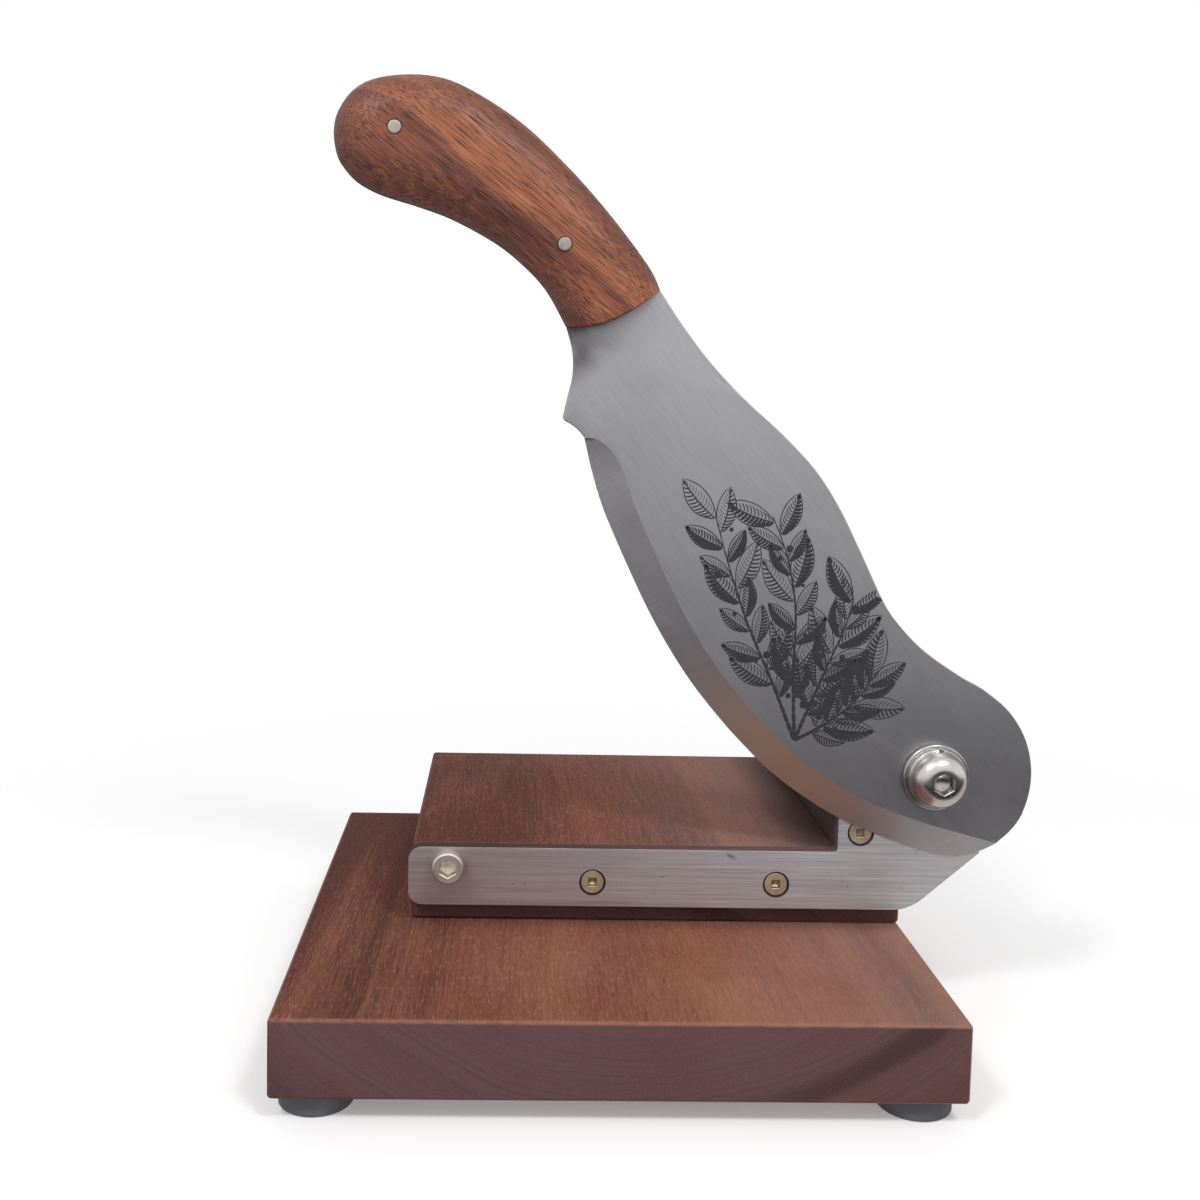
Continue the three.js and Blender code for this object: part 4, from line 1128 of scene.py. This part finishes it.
# Blade. Its outline is drawn closed about the pivot: x runs to the handle, z up to the spine.
# Spine and edge points give the share of the way from the pivot to the notch, and millimetres of height.

SPINE = [
    (1.065, 18.2), (0.972, 18.5), (0.872, 20.4), (0.766, 23.6), (0.666, 25.4), (0.573, 24.6), (0.466, 21.8),
    (0.36, 18.8), (0.296, 18.7), (0.226, 20.3), (0.14, 24.7), (0.091, 28),
]
EDGE = [
    (0.937, -30.1), (0.864, -34), (0.785, -36.9), (0.705, -39.5), (0.623, -41.8), (0.537, -43.4),
    (0.445, -44.1), (0.348, -43.5), (0.278, -42.4), (0.216, -41), (0.133, -37.6), (0.041, -32.2),
]
# Points of the edge's heel, in heel radii, and the round of the heel between two angles in degrees
EDGE_HEEL = [
    (0.166, -0.838), (0.458, -0.649), (0.709, -0.463), (0.846, -0.333), (0.925, -0.215), (0.966, -0.09),
    (0.966, 0.02), (0.955, 0.125), (0.941, 0.27), (0.913, 0.388),
]
HEEL_END, HEEL_START = 30.0, 102.0
# Grip, neck and core of the handle, in millimetres from the notch
GRIP = [
    (-30.8, 15.5), (-42.8, 17), (-52.8, 16), (-63.8, 13), (-76.8, 6.9), (-86, 0.9), (-95.3, -6),
    (-101.8, -9.4), (-106.8, -10.5), (-111.8, -10.1), (-118.1, -6.8), (-122.6, -1.5), (-124.7, 6.8),
    (-122.2, 15.6), (-114.9, 26.1), (-105.5, 33.1), (-87.7, 40.2), (-67.8, 44), (-48.8, 45.8),
    (-30.8, 46.1), (-22.8, 44.8),
]
NECK = [(-23.8, 12.7), (-17.8, 8.4), (-12.8, 2.6)]
SPUR = (-8.6, -2.3)
NOTCH_RADIUS = 14.0
GRIP_END_BULGE = (-21.3, 24)
CORE = [(-46, 31), (-62, 29.5), (-80, 23.5), (-95, 16), (-107.5, 10)]
BLADE_STEPS, EDGE_FINE, HEEL_STEPS, SPINE_STEPS, NECK_STEPS, GRIP_STEPS = 200, 2400, 60, 130, 40, 220
BLADE_SHARP = math.radians(15)


def notch_point(sizes):
    stop = node_middle("stop_screw") - PIVOT
    return np.array([stop[0] + sizes.notch_lead, stop[2] + sizes.stop_room])


def heel_radius():
    return node_box("blade")[1][0] - PIVOT[0]


def grip_curve(notch):
    return smooth_curve(notch + np.array(GRIP) * MM, GRIP_STEPS)


def lever_points(plan, y):
    """Places on the raised lever of points drawn closed about the pivot, at depths y."""
    depth = np.broadcast_to(y, len(plan))
    place = PIVOT + plan[:, :1] * ALONG_LEVER + plan[:, 1:] * UP_LEVER
    place[:, 1] = depth
    return place


def edge_and_grind(sizes, notch):
    """Cutting edge from notch to heel; the line that the bevel starts from, moved in along the normal; and
    the share of the blade's thickness that the edge has: none until the heel point, all at the heel
    corner."""
    reach = np.array(EDGE) * (notch[0], MM)
    heel = np.array(EDGE_HEEL) * heel_radius()
    end = arc((0, 0), heel_radius(), HEEL_END, HEEL_END, 1)
    edge = smooth_curve(np.vstack([notch, reach, heel, end]), EDGE_FINE)
    u = (1 - np.cos(np.linspace(0, np.pi, BLADE_STEPS + 1))) / 2
    place = np.arange(EDGE_FINE + 1)
    edge = np.column_stack([np.interp(u * EDGE_FINE, place, column) for column in edge.T])
    ahead = np.gradient(edge, axis=0)
    ahead /= np.linalg.norm(ahead, axis=1, keepdims=True)
    total = np.linalg.norm(np.diff(edge, axis=0), axis=1).sum()
    near_notch = np.minimum(1, u * total / sizes.bevel_run_out)
    width = sizes.bevel_width * np.sqrt(1 - (1 - near_notch) ** 2)
    grind = edge + width[:, None] * np.column_stack([-ahead[:, 1], ahead[:, 0]])
    share_out = (sizes.heel_run_out - (1 - u) * total) / (sizes.heel_run_out - sizes.heel_corner)
    start = [np.interp(0, share_out, column) for column in grind.T]
    corner = [np.interp(1, share_out, column) for column in edge.T]
    straight = start + np.clip(share_out, 0, 1)[:, None] * (np.array(corner) - start)
    grind = np.where(share_out[:, None] <= 0, grind, straight)
    thick = (sizes.heel_point - (1 - u) * total) / (sizes.heel_point - sizes.heel_corner)
    return edge, np.where(share_out[:, None] < 1, grind, edge), np.clip(thick, 0, 1)


def notch_arc(tip, notch):
    """Hollow arc from the spur's tip to the notch."""
    chord = notch - tip
    side = np.array([chord[1], -chord[0]]) / np.linalg.norm(chord)
    radius = NOTCH_RADIUS * MM
    centre = (tip + notch) / 2 + side * math.sqrt(radius**2 - chord @ chord / 4)
    spokes = np.array([tip, notch]) - centre
    start, end = np.degrees(np.arctan2(spokes[:, 1], spokes[:, 0]))
    return arc(centre, radius, start, end, 24)


def blunted(before, after, size):
    """Two polylines that meet in a point, with the point replaced by a quadratic round."""
    first, second = even(before, 400), even(after, 400)
    cut = first[np.linalg.norm(first - before[-1], axis=1) > size]
    rest = second[np.linalg.norm(second - before[-1], axis=1) > size]
    t = np.linspace(0, 1, 10)[1:-1, None]
    tip = quadratic(cut[-1], before[-1], rest[0], t)
    return np.vstack([even(cut, 40), tip, even(rest, 24)])


def back_outline(sizes, notch):
    """The blade's outline from the heel over spine, grip and neck to the notch."""
    radius = heel_radius()
    grip = grip_curve(notch)
    heel = arc((0, 0), radius, HEEL_END, HEEL_START, HEEL_STEPS)
    spine = (np.array(SPINE) * (notch[0], MM))[::-1]
    spine = smooth_curve(np.vstack([heel[-1], spine, grip[-1]]), SPINE_STEPS)
    tip = notch + np.array(SPUR) * MM
    neck = smooth_curve(np.vstack([grip[0], notch + np.array(NECK) * MM, tip]), NECK_STEPS)
    spur = blunted(neck, notch_arc(tip, notch), sizes.spur_round)
    return np.vstack([heel[1:], spine[1:], grip[::-1][1:], spur[1:-1]])


class CUTTER_OT_blade(bpy.types.Operator):
    """Blade with its ground bevel, and the etched sprig on it"""

    bl_idname = "cutter.blade"
    bl_label = "Blade"

    def execute(self, context):
        sizes, colours = context.scene.cutter_sizes, context.scene.cutter_colours
        low, high = node_box("blade")
        front, back = low[1], high[1]
        notch = notch_point(sizes)
        edge, grind, thick = edge_and_grind(sizes, notch)
        rest = back_outline(sizes, notch)
        outline = np.vstack([edge, rest])
        normal = outward(outline)
        sharp = np.arange(len(outline)) < len(edge)
        thin = sizes.edge_thickness
        edge_height = np.concatenate([thin + thick * (back - front - thin), np.zeros(len(rest))])
        rings, painted_lights = [], []
        for k, angle in enumerate(EDGE_TURN[::-1]):
            inset = sizes.steel_round * (1 - math.cos(angle))
            rise = sizes.steel_round * (1 - math.sin(angle))
            plan = outline - inset * normal
            plan[sharp] = grind
            rings.append(lever_points(plan, np.where(sharp, front, front + rise)))
            painted_lights.append(np.where(sharp, 0.0, EDGE_HIGHLIGHT[k]))
        for k, angle in enumerate(EDGE_TURN):
            inset = np.where(sharp, 0, sizes.steel_round * (1 - math.cos(angle)))
            rise = sizes.steel_round * (1 - math.sin(angle))
            lift = np.where(sharp, edge_height * (1 - k / (EDGE_STEPS - 1)), rise)
            rings.append(lever_points(outline - inset[:, None] * normal, back - lift))
            painted_lights.append(np.where(sharp, 1.0, EDGE_HIGHLIGHT[k]))
        shell = Shell()
        shell.grid(np.stack(rings))
        shell.painted_lights[-1] = np.concatenate(painted_lights)
        walls = [(sizes.bolt_bore, front), (sizes.bolt_bore, back)]
        bore = turn(shell, (PIVOT[0], 0, PIVOT[2]), 1, walls)
        shell.cap(rings[0], bore[0])
        shell.cap(rings[-1], bore[-1])
        steel = finish("blade steel", blade_steel, colours)
        shell.cover("blade", steel, "lever", "blade_steel", sharp=BLADE_SHARP)
        self.sprig(sizes, colours, front, np.vstack([grind, rest]))
        return {"FINISHED"}

    def sprig(self, sizes, colours, front, face):
        """Etched spray of leaves: every mark is a tapered ribbon along a quadratic curve, all worked out
        at once. Marks that would leave the blade's flat face are left out."""
        marks = []
        for number, branch in enumerate(BRANCHES):
            stem = smooth_curve(np.array(branch) * MM, STEM_STEPS)
            marks += [stem_marks(stem), *leaf_marks(stem, number), berry_marks(stem, number)]
        starts, bends, ends, widths = (np.concatenate(part) for part in zip(*marks))
        t = np.linspace(0, 1, MARK_STEPS)[None, :, None]
        line = quadratic(starts[:, None], bends[:, None], ends[:, None], t)
        ahead = np.gradient(line, axis=1)
        side = np.stack([-ahead[..., 1], ahead[..., 0]], axis=-1)
        side /= np.linalg.norm(side, axis=-1, keepdims=True) + 1e-9
        half = widths[:, None, None] / 2 * np.sqrt(np.clip(1.02 - (2 * t - 1) ** 4, 0, 1))
        sheet = np.stack([line - half * side, line + half * side], axis=2) + SPRAY_CENTRE * MM
        sheet = sheet @ np.array([ALONG_LEVER[[0, 2]], UP_LEVER[[0, 2]]]).T
        fits = inside(sheet.reshape(-1, 2), face).reshape(len(sheet), -1).all(axis=1)
        sheet = sheet[fits]
        lift = sizes.etch_height * (1 + 0.618 * np.arange(len(sheet)) % 1)
        index = np.arange(len(sheet) * 2 * MARK_STEPS).reshape(len(sheet), MARK_STEPS, 2)
        quads = np.stack([index[:, :-1, 0], index[:, 1:, 0], index[:, 1:, 1], index[:, :-1, 1]], axis=-1)
        shell = Shell()
        marks = lever_points(sheet.reshape(-1, 2), front - np.repeat(lift, 2 * MARK_STEPS))
        shell.add(marks, quads.reshape(-1, 4), False, 0.0)
        etch = finish("etched mark", etched_mark, colours)
        shell.piece("BladeSpray", etch, "lever", "blade_steel")


# Etched spray, drawn upright on the raised blade: its centre from the pivot, then each branch, in mm
SPRAY_CENTRE = np.array([-51.6, 47.6])
BRANCHES = [
    [(7, -37), (0, -20), (-9, 0), (-16, 20), (-20, 34)],
    [(7, -37), (6, -16), (6, 4), (3, 20), (-2, 33)],
    [(7, -37), (13, -22), (18, -10), (22, 0), (24, 8)],
    [(7, -37), (16, -32), (25, -25), (31, -17)],
]
STEM_STEPS = 200
MARK_STEPS = 9
LEAF_PAIRS = 7
HATCHES = 13
BERRIES = 7


def stem_marks(stem):
    """Short overlapping strokes along the branch, thinner towards its tip."""
    cuts = np.arange(0, STEM_STEPS, 8)
    taper = np.linspace(1.3, 0.3, len(cuts)) * MM
    return stem[cuts], stem[cuts + 4], stem[np.minimum(cuts + 9, STEM_STEPS)], taper


def leaf_marks(stem, number):
    """Pairs of leaves along the branch: midrib, two margins, and hatching that is heavier on one half."""
    place = np.linspace(50, STEM_STEPS - 6, LEAF_PAIRS).astype(int)
    place = np.concatenate([place, np.maximum(place - 12, 4)])
    side = np.repeat([1.0, -1.0], LEAF_PAIRS)
    root = stem[place]
    ahead = stem[np.minimum(place + 3, STEM_STEPS)] - stem[np.maximum(place - 3, 0)]
    heading = np.arctan2(ahead[:, 1], ahead[:, 0])
    order = np.tile(np.arange(LEAF_PAIRS), 2) + 2.7 * number
    reach = (14.0 + 3.0 * np.sin(2.3 * order + side)) * MM
    angle = heading + side * (0.75 + 0.22 * np.sin(1.7 * order))
    axis = np.column_stack([np.cos(angle), np.sin(angle)])
    wing = np.column_stack([-axis[:, 1], axis[:, 0]]) * side[:, None]
    reach = reach[:, None]
    tip = root + reach * axis - 0.14 * reach * wing
    belly = root + 0.5 * reach * axis
    fat = 0.42 * reach
    thin = np.full(len(root), 0.22 * MM)
    yield root, belly + 0.04 * reach * wing, tip, 2 * thin
    for half in (1, -1):
        yield root, belly + half * fat * wing, tip, 1.5 * thin
    u = np.linspace(0.06, 0.92, HATCHES)[None, :, None]
    far = np.minimum(u + 0.1, 0.97)
    rib = quadratic(root[:, None], belly[:, None], tip[:, None], u)
    for half, weight, fill in ((1, 3.2, 0.95), (-1, 1.2, 0.75)):
        margin = quadratic(root[:, None], (belly + half * fat * wing)[:, None], tip[:, None], far)
        end = rib + fill * (margin - rib)
        bend = (rib + end) / 2 - 0.05 * reach[:, None] * axis[:, None]
        heft = weight * (1.25 + 0.6 * np.sin(2.9 * order)) * thin
        wide = np.broadcast_to(heft[:, None], rib.shape[:2])
        yield rib.reshape(-1, 2), bend.reshape(-1, 2), end.reshape(-1, 2), wide.ravel()


def berry_marks(stem, number):
    """Round berries on either side of the branch, as strokes as wide as they are long."""
    place = np.linspace(40, STEM_STEPS - 20, BERRIES).astype(int)
    order = np.arange(BERRIES) + 1.9 * number
    spread = np.column_stack([np.cos(3.1 * order), np.sin(2.2 * order)]) * 3.4 * MM
    radius = (0.8 + 0.3 * np.sin(4.1 * order)) * MM
    middle = stem[place] + spread
    step = np.column_stack([radius, 0 * radius])
    return middle - step, middle, middle + step, 2 * radius


# Handle

PIN_PROUD = 0.14 * MM


def nearest(points, targets):
    """For each point, the target closest to it and how far that is."""
    gap = np.linalg.norm(points[:, None] - targets[None], axis=2)
    best = np.argmin(gap, axis=1)
    return targets[best], gap[np.arange(len(points)), best]


class CUTTER_OT_handle(bpy.types.Operator):
    """Handle scales and their pins"""

    bl_idname = "cutter.handle"
    bl_label = "Handle"

    def execute(self, context):
        sizes, colours = context.scene.cutter_sizes, context.scene.cutter_colours
        wood = finish("handle wood", handle_wood, colours, math.radians(38))
        bright = finish("pin steel", smooth_metal, colours.pin_steel, 0.36, 2600)
        for node in ("handle_scale_front", "handle_scale_rear"):
            self.scale(node, sizes, wood)
        for node in HANDLE_PINS:
            self.pin(node, bright)
        return {"FINISHED"}

    def scale(self, node, sizes, wood):
        """Loop of the grip drawn in to a core line; the height over the tang is a quarter of a
        superellipse in the distance from the grip's outline; the end towards the blade is cut square."""
        low, high = node_box(node)
        front = low[1] < PIVOT[1] - (high[1] - low[1])
        flat, proud = (high[1], low[1] + PIN_PROUD) if front else (low[1], high[1] - PIN_PROUD)
        notch = notch_point(sizes)
        grip = grip_curve(notch)
        bulge = notch + np.array(GRIP_END_BULGE) * MM
        t = np.linspace(0, 1, 61)[1:-1, None]
        end = quadratic(grip[-1], bulge, grip[0], t)
        loop = np.vstack([grip, end])
        core, _ = nearest(loop, smooth_curve(notch + np.array(CORE) * MM, 240))
        inward = np.linspace(0, 1, 34)[:, None, None] ** 2.0
        plan = ((1 - inward) * loop + inward * core).reshape(-1, 2)
        run_on = [2 * grip[k] - grip[j] for k, j in ((0, 12), (-1, -13))]
        fence = even(np.vstack([run_on[0], grip, run_on[1]]), 1600)
        _, from_side = nearest(plan, fence)
        _, from_end = nearest(plan, even(np.vstack([grip[-1], end, grip[0]]), 300))
        swell = 1 - (1 - np.minimum(1, from_side / sizes.handle_round)) ** 2.3
        height = (proud - flat) * swell**0.72
        soft = sizes.handle_end_round
        nip = soft - np.sqrt(soft**2 - (soft - np.minimum(soft, from_end)) ** 2)
        height = height - np.sign(height) * np.minimum(nip, np.abs(height))
        rows = lever_points(plan, flat + height).reshape(len(inward), len(loop), 3)
        floor = lever_points(loop, flat)
        shell = Shell()
        shell.grid(np.concatenate([floor[None], rows]))
        # Painted shade: the scales darken towards their lower side, and the floor row darkens the end wall
        low_side = np.tile(np.clip(-outward(loop)[:, 1], 0, 1), len(inward))
        shade = 0.62 * low_side * (1 - np.minimum(1, from_side / sizes.handle_round)) ** 1.3
        shell.painted_lights[-1] = np.concatenate([np.ones(len(loop)), shade])
        shell.cap(floor)
        shell.cover(node, wood, "lever", "handle_wood")

    def pin(self, node, bright):
        """Cylinder with a slightly raised, eased end on both sides."""
        low, high = node_box(node)
        radius, reach, soft = half_width(node), high[1] - low[1], 0.2 * MM
        middle, rim = 0.03 * MM, 0.05 * MM
        rows = [(0, 0), (0.5 * radius, middle), *quarter(radius - soft, soft + rim, soft, -1)]
        rows += quarter(radius - soft, reach - soft - rim, soft, 0)
        rows += [(0.5 * radius, reach - middle), (0, reach)]
        turned_piece(node, low_end(node, 1), 1, rows, bright, "bright_steel", body="lever")


# Stage

LAMPS = {"LampLeft": (-0.55, -0.75, 1.05), "LampRight": (0.35, -0.7, 1.1)}
LAMP_AIM = Vector((0, 0, 0.12))
FLOOR_REACH = 8


class CUTTER_OT_stage(bpy.types.Operator):
    """Camera, soft lamps, white surroundings and a pale floor"""

    bl_idname = "cutter.stage"
    bl_label = "Stage"

    def execute(self, context):
        stage = context.scene.cutter_stage
        context.scene.view_settings.view_transform = "Standard"
        self.camera(context, stage)
        self.lamps(context, stage)
        self.surroundings(context, stage)
        self.floor(context, stage)
        self.mat(context, stage)
        return {"FINISHED"}

    def camera(self, context, stage):
        """The view's right, down and forward directions, turned by yaw, then pitch, then roll."""
        sy, cy = math.sin(stage.yaw), math.cos(stage.yaw)
        sp, cp = math.sin(stage.pitch), math.cos(stage.pitch)
        sr, cr = math.sin(stage.roll), math.cos(stage.roll)
        level = np.array([[1, 0, 0], [0, 0, -1], [0, 1, 0]])
        yaw = np.array([[cy, 0, -sy], [0, 1, 0], [sy, 0, cy]])
        pitch = np.array([[1, 0, 0], [0, cp, -sp], [0, sp, cp]])
        roll = np.array([[cr, -sr, 0], [sr, cr, 0], [0, 0, 1]])
        right, down, forward = roll @ pitch @ yaw @ level
        data = bpy.data.cameras.new("Camera")
        data.sensor_fit = "HORIZONTAL"
        data.sensor_width = 36.0
        data.lens = stage.lens
        data.shift_x, data.shift_y = stage.shift_x, stage.shift_y
        data.clip_start, data.clip_end = 0.01, 50.0
        camera = bpy.data.objects.new("Camera", data)
        turn_to = Matrix([right, -down, -forward]).transposed().to_4x4()
        camera.matrix_world = Matrix.Translation(stage.camera_place) @ turn_to
        context.scene.collection.objects.link(camera)
        context.scene.camera = camera

    def lamps(self, context, stage):
        for name, place in LAMPS.items():
            data = bpy.data.lights.new(name, "AREA")
            data.shape = "SQUARE"
            data.size = stage.lamp_size
            data.energy = stage.lamp_power
            lamp = bpy.data.objects.new(name, data)
            aim = LAMP_AIM - Vector(place)
            lamp.location = place
            lamp.rotation_euler = aim.to_track_quat("-Z", "Y").to_euler()
            context.scene.collection.objects.link(lamp)

    def surroundings(self, context, stage):
        world = bpy.data.worlds.new("Surroundings")
        world.use_nodes = True
        nodes, links = world.node_tree.nodes, world.node_tree.links
        path = nodes.new("ShaderNodeLightPath")
        seen = path.outputs["Is Camera Ray"]
        for other in ("Is Glossy Ray", "Is Transmission Ray"):
            either = nodes.new("ShaderNodeMath")
            either.operation = "MAXIMUM"
            links.new(seen, either.inputs[0])
            links.new(path.outputs[other], either.inputs[1])
            seen = either.outputs[0]
        level = nodes.new("ShaderNodeMapRange")
        level.inputs["To Min"].default_value = stage.ambient
        links.new(seen, level.inputs["Value"])
        links.new(level.outputs[0], nodes["Background"].inputs["Strength"])
        nodes["Background"].inputs["Color"].default_value = (1, 1, 1, 1)
        context.scene.world = world

    def sheet(self, context, name, low, high, height, material):
        """A flat rectangle of the stage."""
        corners = [(low[0], low[1]), (high[0], low[1]), (high[0], high[1]), (low[0], high[1])]
        mesh = bpy.data.meshes.new(name)
        mesh.from_pydata([(*c, height) for c in corners], [], [(0, 1, 2, 3)])
        mesh.materials.append(material)
        made = bpy.data.objects.new(name, mesh)
        context.scene.collection.objects.link(made)
        return made

    def floor(self, context, stage):
        pale = Finish("pale floor", {"Roughness": 0.9, "Specular IOR Level": 0.0})
        path = pale.node("ShaderNodeLightPath", out="Is Camera Ray")
        glossy = pale.node("ShaderNodeLightPath", out="Is Glossy Ray")
        glow = path.maths("MAXIMUM", path, glossy) * 0.24
        tint = pale.mix(glow, (0, 0, 0), (1, 1, 1))
        away = pale.node("ShaderNodeVectorMath", {"operation": "LENGTH"}, {0: pale.place})
        material = pale.done(
            Base_Color=stage.floor, Emission_Color=tint, Emission_Strength=1.0,
            Alpha=1 - away.rise(0.2, 0.45),
        )
        reach = FLOOR_REACH
        self.sheet(context, "Floor", (-reach, -reach), (reach, reach), -0.1 * MM, material)

    def mat(self, context, stage):
        """A sheet that only reflections see: bright by the cutter, dark in front of it, paler far off and
        to the left."""
        sheet = Finish("mat", {"Roughness": 0.9, "Specular IOR Level": 0.0})
        x, y, _ = sheet.split(sheet.place)
        tint = sheet.ramp(y * 0.5 + 1, [
            (0.0, stage.mat_far), (0.34, stage.mat_far), (0.64, stage.mat_front), (0.92, stage.mat_front),
            (0.95, stage.mat_near),
        ])
        tint = sheet.mix(0.75 - x.rise(-0.25, -0.06) * 0.75, tint, stage.mat_far)
        material = sheet.done(Base_Color=(0, 0, 0), Emission_Color=tint, Emission_Strength=1.0)
        made = self.sheet(context, "Mat", (-1.5, -3.0), (1.5, 1.0), 0.2 * MM, material)
        made.visible_camera = False
        made.visible_diffuse = False
        made.visible_shadow = False
        made.visible_transmission = False


class CUTTER_PT_panel(bpy.types.Panel):
    """Sizes, colours and steps of the cutter"""

    bl_idname = "CUTTER_PT_panel"
    bl_label = "Biltong cutter"
    bl_space_type = "VIEW_3D"
    bl_region_type = "UI"
    bl_category = "Cutter"

    def draw(self, context):
        layout = self.layout
        for step in STEPS:
            layout.operator(step.bl_idname)
        for group in ("cutter_sizes", "cutter_colours", "cutter_stage"):
            holder = getattr(context.scene, group)
            box = layout.box()
            for key in holder.bl_rna.properties.keys():
                if key not in ("rna_type", "name"):
                    box.prop(holder, key)


GROUPS = {"cutter_sizes": CutterSizes, "cutter_colours": CutterColours, "cutter_stage": CutterStage}
STEPS = [
    CUTTER_OT_stage, CUTTER_OT_boards, CUTTER_OT_wood_screws, CUTTER_OT_side_plate, CUTTER_OT_feet,
    CUTTER_OT_stop_screw, CUTTER_OT_pivot, CUTTER_OT_blade, CUTTER_OT_handle,
]
CLASSES = [*GROUPS.values(), *STEPS, CUTTER_PT_panel]


def register():
    for item in CLASSES:
        bpy.utils.register_class(item)
    for name, group in GROUPS.items():
        setattr(bpy.types.Scene, name, PointerProperty(type=group))


def unregister():
    for name in GROUPS:
        delattr(bpy.types.Scene, name)
    for item in reversed(CLASSES):
        bpy.utils.unregister_class(item)


def main():
    register()
    bpy.ops.cutter.stage()
    bpy.ops.cutter.boards()
    bpy.ops.cutter.wood_screws()
    bpy.ops.cutter.side_plate()
    bpy.ops.cutter.feet()
    bpy.ops.cutter.stop_screw()
    bpy.ops.cutter.pivot()
    bpy.ops.cutter.blade()
    bpy.ops.cutter.handle()


if __name__ == "__main__":
    main()
